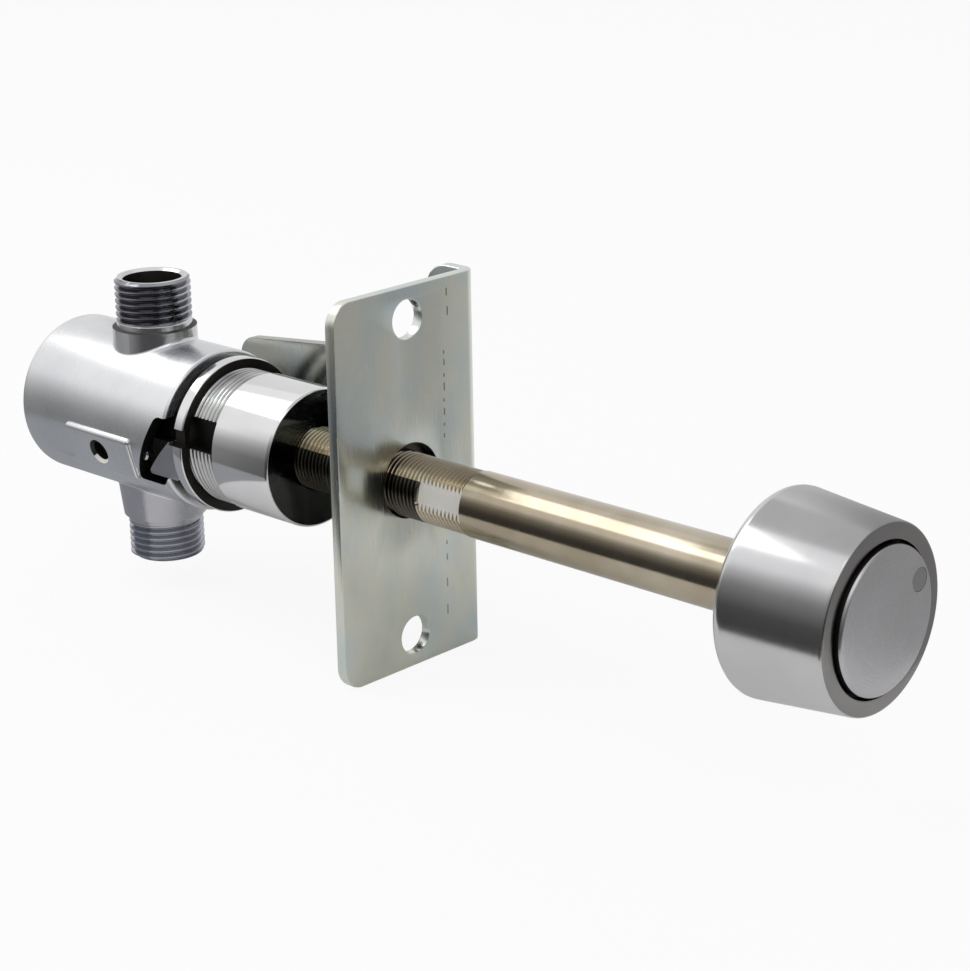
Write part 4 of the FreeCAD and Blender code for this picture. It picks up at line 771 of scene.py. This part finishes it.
def make_valve_body():
    """The barrel with its side pad and two ports, bored out, with the slot and the spindle's bore."""
    pad_front, pad_reach, spindle_bore, port_bore = 85, 23, 3.9, 8.1
    outlet_collar, inlet_collar = 25.2, 28.8
    piece = lathe("tap_body", [
        (RING_BORE, BODY_FRONT), (BARREL_RADIUS, BODY_FRONT, 0.8),
        (BARREL_RADIUS, BODY_BACK, 2.0), (12, BODY_BACK),
    ], solid=True, segments=192)
    settle(piece, turn=BACKWARD)
    pad = bar("side_pad", (-pad_reach, pad_front, -6.2), (-15, 112.5, 6.2), 1.2, 1)
    settle(pad, turn=(0, -PAD_ANGLE, 0))
    work(piece, pad, "UNION")
    ease(piece, 0.25, angle=40)
    add_port(piece, "outlet_port", OUTLET_END, outlet_collar, COLLAR_RADIUS, UPWARD)
    add_port(piece, "inlet_port", INLET_END, inlet_collar, 12.9, DOWNWARD)
    inside = lathe("body_inside", [
        (18.9, BODY_FRONT - 0.1), (RING_BORE, BODY_FRONT + 0.4), (RING_BORE, 88), (15.5, 88), (15.5, 100.6),
        (13, 100.6), (13, 103.6), (18, 103.6), (18, 128.6),
    ], solid=True)
    work(piece, settle(inside, turn=BACKWARD), "DIFFERENCE")
    for end, offset, depth, turn in ((OUTLET_END, -5.4, 14.2, UPWARD), (INLET_END, 5.4, 15.5, DOWNWARD)):
        bore = lathe("port_bore", [(port_bore, 23), (port_bore, end - 0.65), (8.85, end + 0.1)], True, 96)
        work(piece, settle(bore, (0, PORT_STATION, 0), turn), "DIFFERENCE")
        passage = lathe("passage", [(2.6, depth), (2.6, 23.5)], True, 48)
        work(piece, settle(passage, (0, PORT_STATION + offset, 0), turn), "DIFFERENCE")
    slot = side_block("tongue_slot", [(70, -6.7), (85, -10.8), (84.5, 3.2), (70, 7.0)], -24, -12, 1.5)
    work(piece, settle(slot), "DIFFERENCE")
    spindle = lathe("spindle_bore", [
        (2.5, 13.6), (2.5, 19.2), (2.9, 19.2), (2.9, 22.2), (spindle_bore, 23.2),
    ], True, 64)
    work(piece, settle(spindle, (0, PORT_STATION, 0), (0, -(PAD_ANGLE + math.pi / 2), 0)), "DIFFERENCE")
    complete(piece, "tap", "body_chrome", body_chrome, "valve_body")

    def choose(spot):
        # The pad's front face takes the darker satin as painted shade
        pad_front_in_shade = spot.x < -19 and spot.y < pad_front + 0.3 and off_axis(spot) > BARREL_RADIUS + 0.1
        if pad_front_in_shade:
            return tongue_satin_and_shade
        outward = -spot.x * math.cos(PAD_ANGLE) - spot.z * math.sin(PAD_ANGLE)
        across = spot.z * math.cos(PAD_ANGLE) - spot.x * math.sin(PAD_ANGLE)
        off_spindle = math.hypot(spot.y - PORT_STATION, across)
        # Inside the pad's hole is near-black painted shade; its lower lip takes the pale metal as a painted
        # glint
        if 13 < outward < pad_reach - 0.05 and off_spindle < spindle_bore + 0.05:
            on_lit_lip = across < -1.8 and outward > 22.25
            return milled_flat_and_glint if on_lit_lip else painted_shade
        off_port = math.hypot(spot.x, spot.y - PORT_STATION)
        end, collar_end = (OUTLET_END, outlet_collar) if spot.z > 0 else (INLET_END, inlet_collar)
        # The port bores and the barrel's inside take near-black painted shade
        in_port_bore = off_port < port_bore + 0.2 and abs(spot.z) < end - 0.7
        in_barrel = off_axis(spot) < 22.1 and abs(spot.z) < 18 and BODY_FRONT + 0.3 < spot.y < 129
        if in_port_bore or in_barrel:
            return painted_shade
        on_port = abs(spot.z) > 22.4 and off_port < 14
        if not on_port:
            return body_chrome
        on_thread = abs(spot.z) > collar_end + 2.2 and off_port > 9
        if spot.z < 0:
            return inlet_thread_and_crest_glint if on_thread else inlet_chrome
        # On the outlet thread the roots take painted shade and the crests a painted glint
        if on_thread:
            crest_glint = off_port > 10.35
            return inlet_thread_and_crest_glint if crest_glint else outlet_thread_painted_shade
        return cast_chrome

    metals = [cast_chrome, inlet_thread_and_crest_glint, painted_shade, outlet_thread_painted_shade, tongue_satin_and_shade, milled_flat_and_glint, inlet_chrome]
    return lay_metals(piece, metals, choose)


# Head and button

def make_head():
    """The tapered head, hollow, with the hole of its set screw underneath."""
    length, mouth = 28.6, 18
    front = -WALL_GAP - length
    piece = lathe("head_shell", [
        (20.25, 0), (25, 0, 3), (22.1, length, 1.0), (mouth, length, 0.25),
        (mouth, length - 2), (19.25, length - 2), (19.25, 6.5), (20.25, 6.5),
    ], segments=224)
    settle(piece, (0, -WALL_GAP, 0), FORWARD)
    hole = lathe("head_hole", [(2.05, 0), (2.05, 26)], True, 48)
    work(piece, settle(hole, (0, -WALL_GAP - 4, 0), DOWNWARD), "DIFFERENCE")
    complete(piece, "tap", "head_satin", head_satin, "head_casing")

    def choose(spot):
        # Inside the head's mouth is near-black painted shade
        in_mouth = off_axis(spot) < mouth + 0.15 and spot.y < front + 2.4
        if in_mouth:
            return painted_shade
        return rim_satin if spot.y < front + 0.2 else head_satin

    return lay_metals(piece, [rim_satin, painted_shade], choose)


def make_button():
    """The button and the small disc let into its face."""
    rise, radius = 30.2, 17.3
    face = -WALL_GAP - rise
    piece = lathe("button_cap", [
        (15.4, 27.2), (15.4, 23.8), (19.2, 23.8, 0.3), (19.2, 26.3, 0.3),
        (radius, 26.3), (radius, rise, 1.0), (12, rise),
    ], solid=True, segments=192)
    settle(piece, (0, -WALL_GAP, 0), FORWARD)
    angle, reach = math.radians(29), 13.4
    spot = Vector((reach * math.cos(angle), face, reach * math.sin(angle)))
    seat = lathe("seat", [(2.85, -0.5), (2.85, 0.6)], True, 64)
    work(piece, settle(seat, spot, BACKWARD), "DIFFERENCE")
    complete(piece, "button", "button_satin", button_satin, "push_button")

    def choose(spot):
        # The button's side, in the gap to the head, takes near-black painted shade
        on_side = spot.y > face + 0.8 and off_axis(spot) > radius - 0.4
        return painted_shade if on_side else button_satin

    lay_metals(piece, [painted_shade], choose)
    disc = lathe("button_disc", [(2.8, 0.6), (2.8, 0.02, 0.12), (1.5, 0.02)], True, 64)
    settle(disc, spot, BACKWARD)
    complete(disc, "button", "marker_grey", marker_satin, "button_marker")
    return piece


make_bracket()
make_plate_nut()
make_plate_washer()
make_tube()
make_bonnet()
make_lock_ring()
make_lock_screw()
make_valve_body()
make_head()
make_button()


# Floor, light and camera

def make_floor():
    """A pale floor that keeps the object's shadow and shows nearly white to the camera."""
    deselect()
    bpy.ops.mesh.primitive_plane_add(size=12, location=(0, 0, -0.0507))
    floor = bpy.context.object
    floor.name = "floor"
    material = bpy.data.materials.new("white_floor")
    material.use_nodes = True
    tree = material.node_tree
    diffuse = tree.nodes["Principled BSDF"]
    diffuse.inputs["Base Color"].default_value = (0.86, 0.86, 0.86, 1)
    diffuse.inputs["Roughness"].default_value = 0.9
    diffuse.inputs["Specular IOR Level"].default_value = 0.0
    glow = tree.nodes.new("ShaderNodeEmission")
    glow.inputs["Color"].default_value = (1, 1, 1, 1)
    path = tree.nodes.new("ShaderNodeLightPath")
    seen = tree.nodes.new("ShaderNodeMath")
    seen.operation = "MULTIPLY"
    seen.inputs[1].default_value = 0.9
    tree.links.new(path.outputs["Is Camera Ray"], seen.inputs[0])
    blend = tree.nodes.new("ShaderNodeMixShader")
    tree.links.new(seen.outputs[0], blend.inputs["Fac"])
    tree.links.new(diffuse.outputs[0], blend.inputs[1])
    tree.links.new(glow.outputs[0], blend.inputs[2])
    tree.links.new(blend.outputs[0], tree.nodes["Material Output"].inputs["Surface"])
    floor.data.materials.append(material)


def make_world():
    """White to the camera and in metal, and a dimmer white as light."""
    world = bpy.data.worlds.new("studio")
    bpy.context.scene.world = world
    world.use_nodes = True
    tree = world.node_tree
    background = tree.nodes["Background"]
    path = tree.nodes.new("ShaderNodeLightPath")
    seen = path.outputs["Is Camera Ray"]
    for ray in ("Is Glossy Ray", "Is Transmission Ray"):
        either = tree.nodes.new("ShaderNodeMath")
        either.operation = "MAXIMUM"
        tree.links.new(seen, either.inputs[0])
        tree.links.new(path.outputs[ray], either.inputs[1])
        seen = either.outputs[0]
    level = tree.nodes.new("ShaderNodeMapRange")
    level.inputs["To Min"].default_value = 0.55
    level.inputs["To Max"].default_value = 1.0
    tree.links.new(seen, level.inputs["Value"])
    background.inputs["Color"].default_value = (1, 1, 1, 1)
    tree.links.new(level.outputs["Result"], background.inputs["Strength"])


def show_to_metal(piece):
    """Gives a sheet its plain glow and keeps it out of all but the reflections, as a painted reflection."""
    material = bpy.data.materials.new(piece.name)
    material.use_nodes = True
    tree = material.node_tree
    tree.nodes.remove(tree.nodes["Principled BSDF"])
    glow = tree.nodes.new("ShaderNodeEmission")
    tree.links.new(glow.outputs[0], tree.nodes["Material Output"].inputs["Surface"])
    piece.data.materials.append(material)
    piece.visible_camera = False
    piece.visible_diffuse = False
    piece.visible_shadow = False
    return tree, glow


def make_surround():
    """An oval glowing sheet round the tap, seen only in reflections: a painted reflection, dark at its foot
    on the left and grey on the right.
    """
    deselect()
    bpy.ops.mesh.primitive_cylinder_add(
        vertices=96, radius=0.5, depth=1, end_fill_type="NOTHING", location=(0, 0.02, 0.06))
    surround = bpy.context.object
    surround.name = "surround"
    surround.scale = (0.21, 0.64, 0.22)
    tree, glow = show_to_metal(surround)
    place = tree.nodes.new("ShaderNodeTexCoord")
    split = tree.nodes.new("ShaderNodeSeparateXYZ")
    tree.links.new(place.outputs["Generated"], split.inputs[0])
    across, along, up = split.outputs
    near = graded(tree, up, [(0.0, 0.04), (0.22, 0.08), (0.40, 0.26), (0.52, 0.6), (0.62, 1.0)])
    far = graded(tree, up, [(0.0, 0.20), (0.20, 0.28), (0.32, 0.52), (0.46, 1.0)])
    right = graded(tree, along, [(0.33, 0.38), (0.45, 0.85)])
    left = blended(tree, graded(tree, along, [(0.58, 0.0), (0.70, 1.0)]), near, far)
    paper = blended(tree, graded(tree, across, [(0.5, 0.0), (0.62, 1.0)]), left, right)
    tree.links.new(paper, glow.inputs["Color"])


def make_card(name, spot, width, length, colour):
    """A level card of one colour that glows and is seen only in reflections: a painted reflection."""
    deselect()
    bpy.ops.mesh.primitive_plane_add(size=1, location=spot)
    card = bpy.context.object
    card.name = name
    card.scale = (width, length, 1)
    tree, glow = show_to_metal(card)
    glow.inputs["Color"].default_value = (*colour, 1)


def make_lamp(name, spot, width, height, power):
    """A soft square lamp that looks at the plate."""
    light = bpy.data.lights.new(name, "AREA")
    light.shape = "RECTANGLE"
    light.size = width
    light.size_y = height
    light.energy = power
    lamp = bpy.data.objects.new(name, light)
    lamp.location = spot
    lamp.rotation_euler = Vector(spot).normalized().to_track_quat("Z", "Y").to_euler()
    bpy.context.scene.collection.objects.link(lamp)


def make_camera():
    """The photographer's place, direction, roll and focal length, as fitted to the photograph."""
    place = Vector((-0.4274, -0.4311, 0.2017))
    ahead = Vector((0.6878, 0.6526, -0.3179)).normalized()
    level = Vector((ahead.y, -ahead.x, 0)).normalized()
    up = level.cross(ahead)
    roll = math.radians(-1.03)
    right = level * math.cos(roll) + up * math.sin(roll)
    up = up * math.cos(roll) - level * math.sin(roll)
    focal_pixels, image_height, sensor = 2520, 971, 36
    camera = bpy.data.cameras.new("photographer")
    camera.sensor_width = sensor
    camera.lens = focal_pixels * sensor / image_height
    camera.clip_start = 0.01
    viewer = bpy.data.objects.new("photographer", camera)
    viewer.matrix_world = Matrix.Translation(place) @ Matrix((right, up, -ahead)).transposed().to_4x4()
    bpy.context.scene.collection.objects.link(viewer)
    bpy.context.scene.camera = viewer


make_floor()
make_world()
make_surround()
# Two glowing cards seen only in reflections: painted reflections, dark below the body and grey above
make_card("dark_reflection_card", (-0.045, 0.21, -0.0504), 0.17, 0.22, (0.34, 0.35, 0.37))
make_card("grey_reflection_card", (0.035, -0.13, 0.168), 0.14, 0.3, (0.58, 0.58, 0.58))
make_lamp("back_lamp", (-0.42, 0.72, 0.72), 1.1, 0.9, 5.5)
make_lamp("front_lamp", (-0.7, -1.0, 0.9), 1.2, 1.2, 4)
make_camera()
bpy.context.scene.view_settings.view_transform = "Standard"
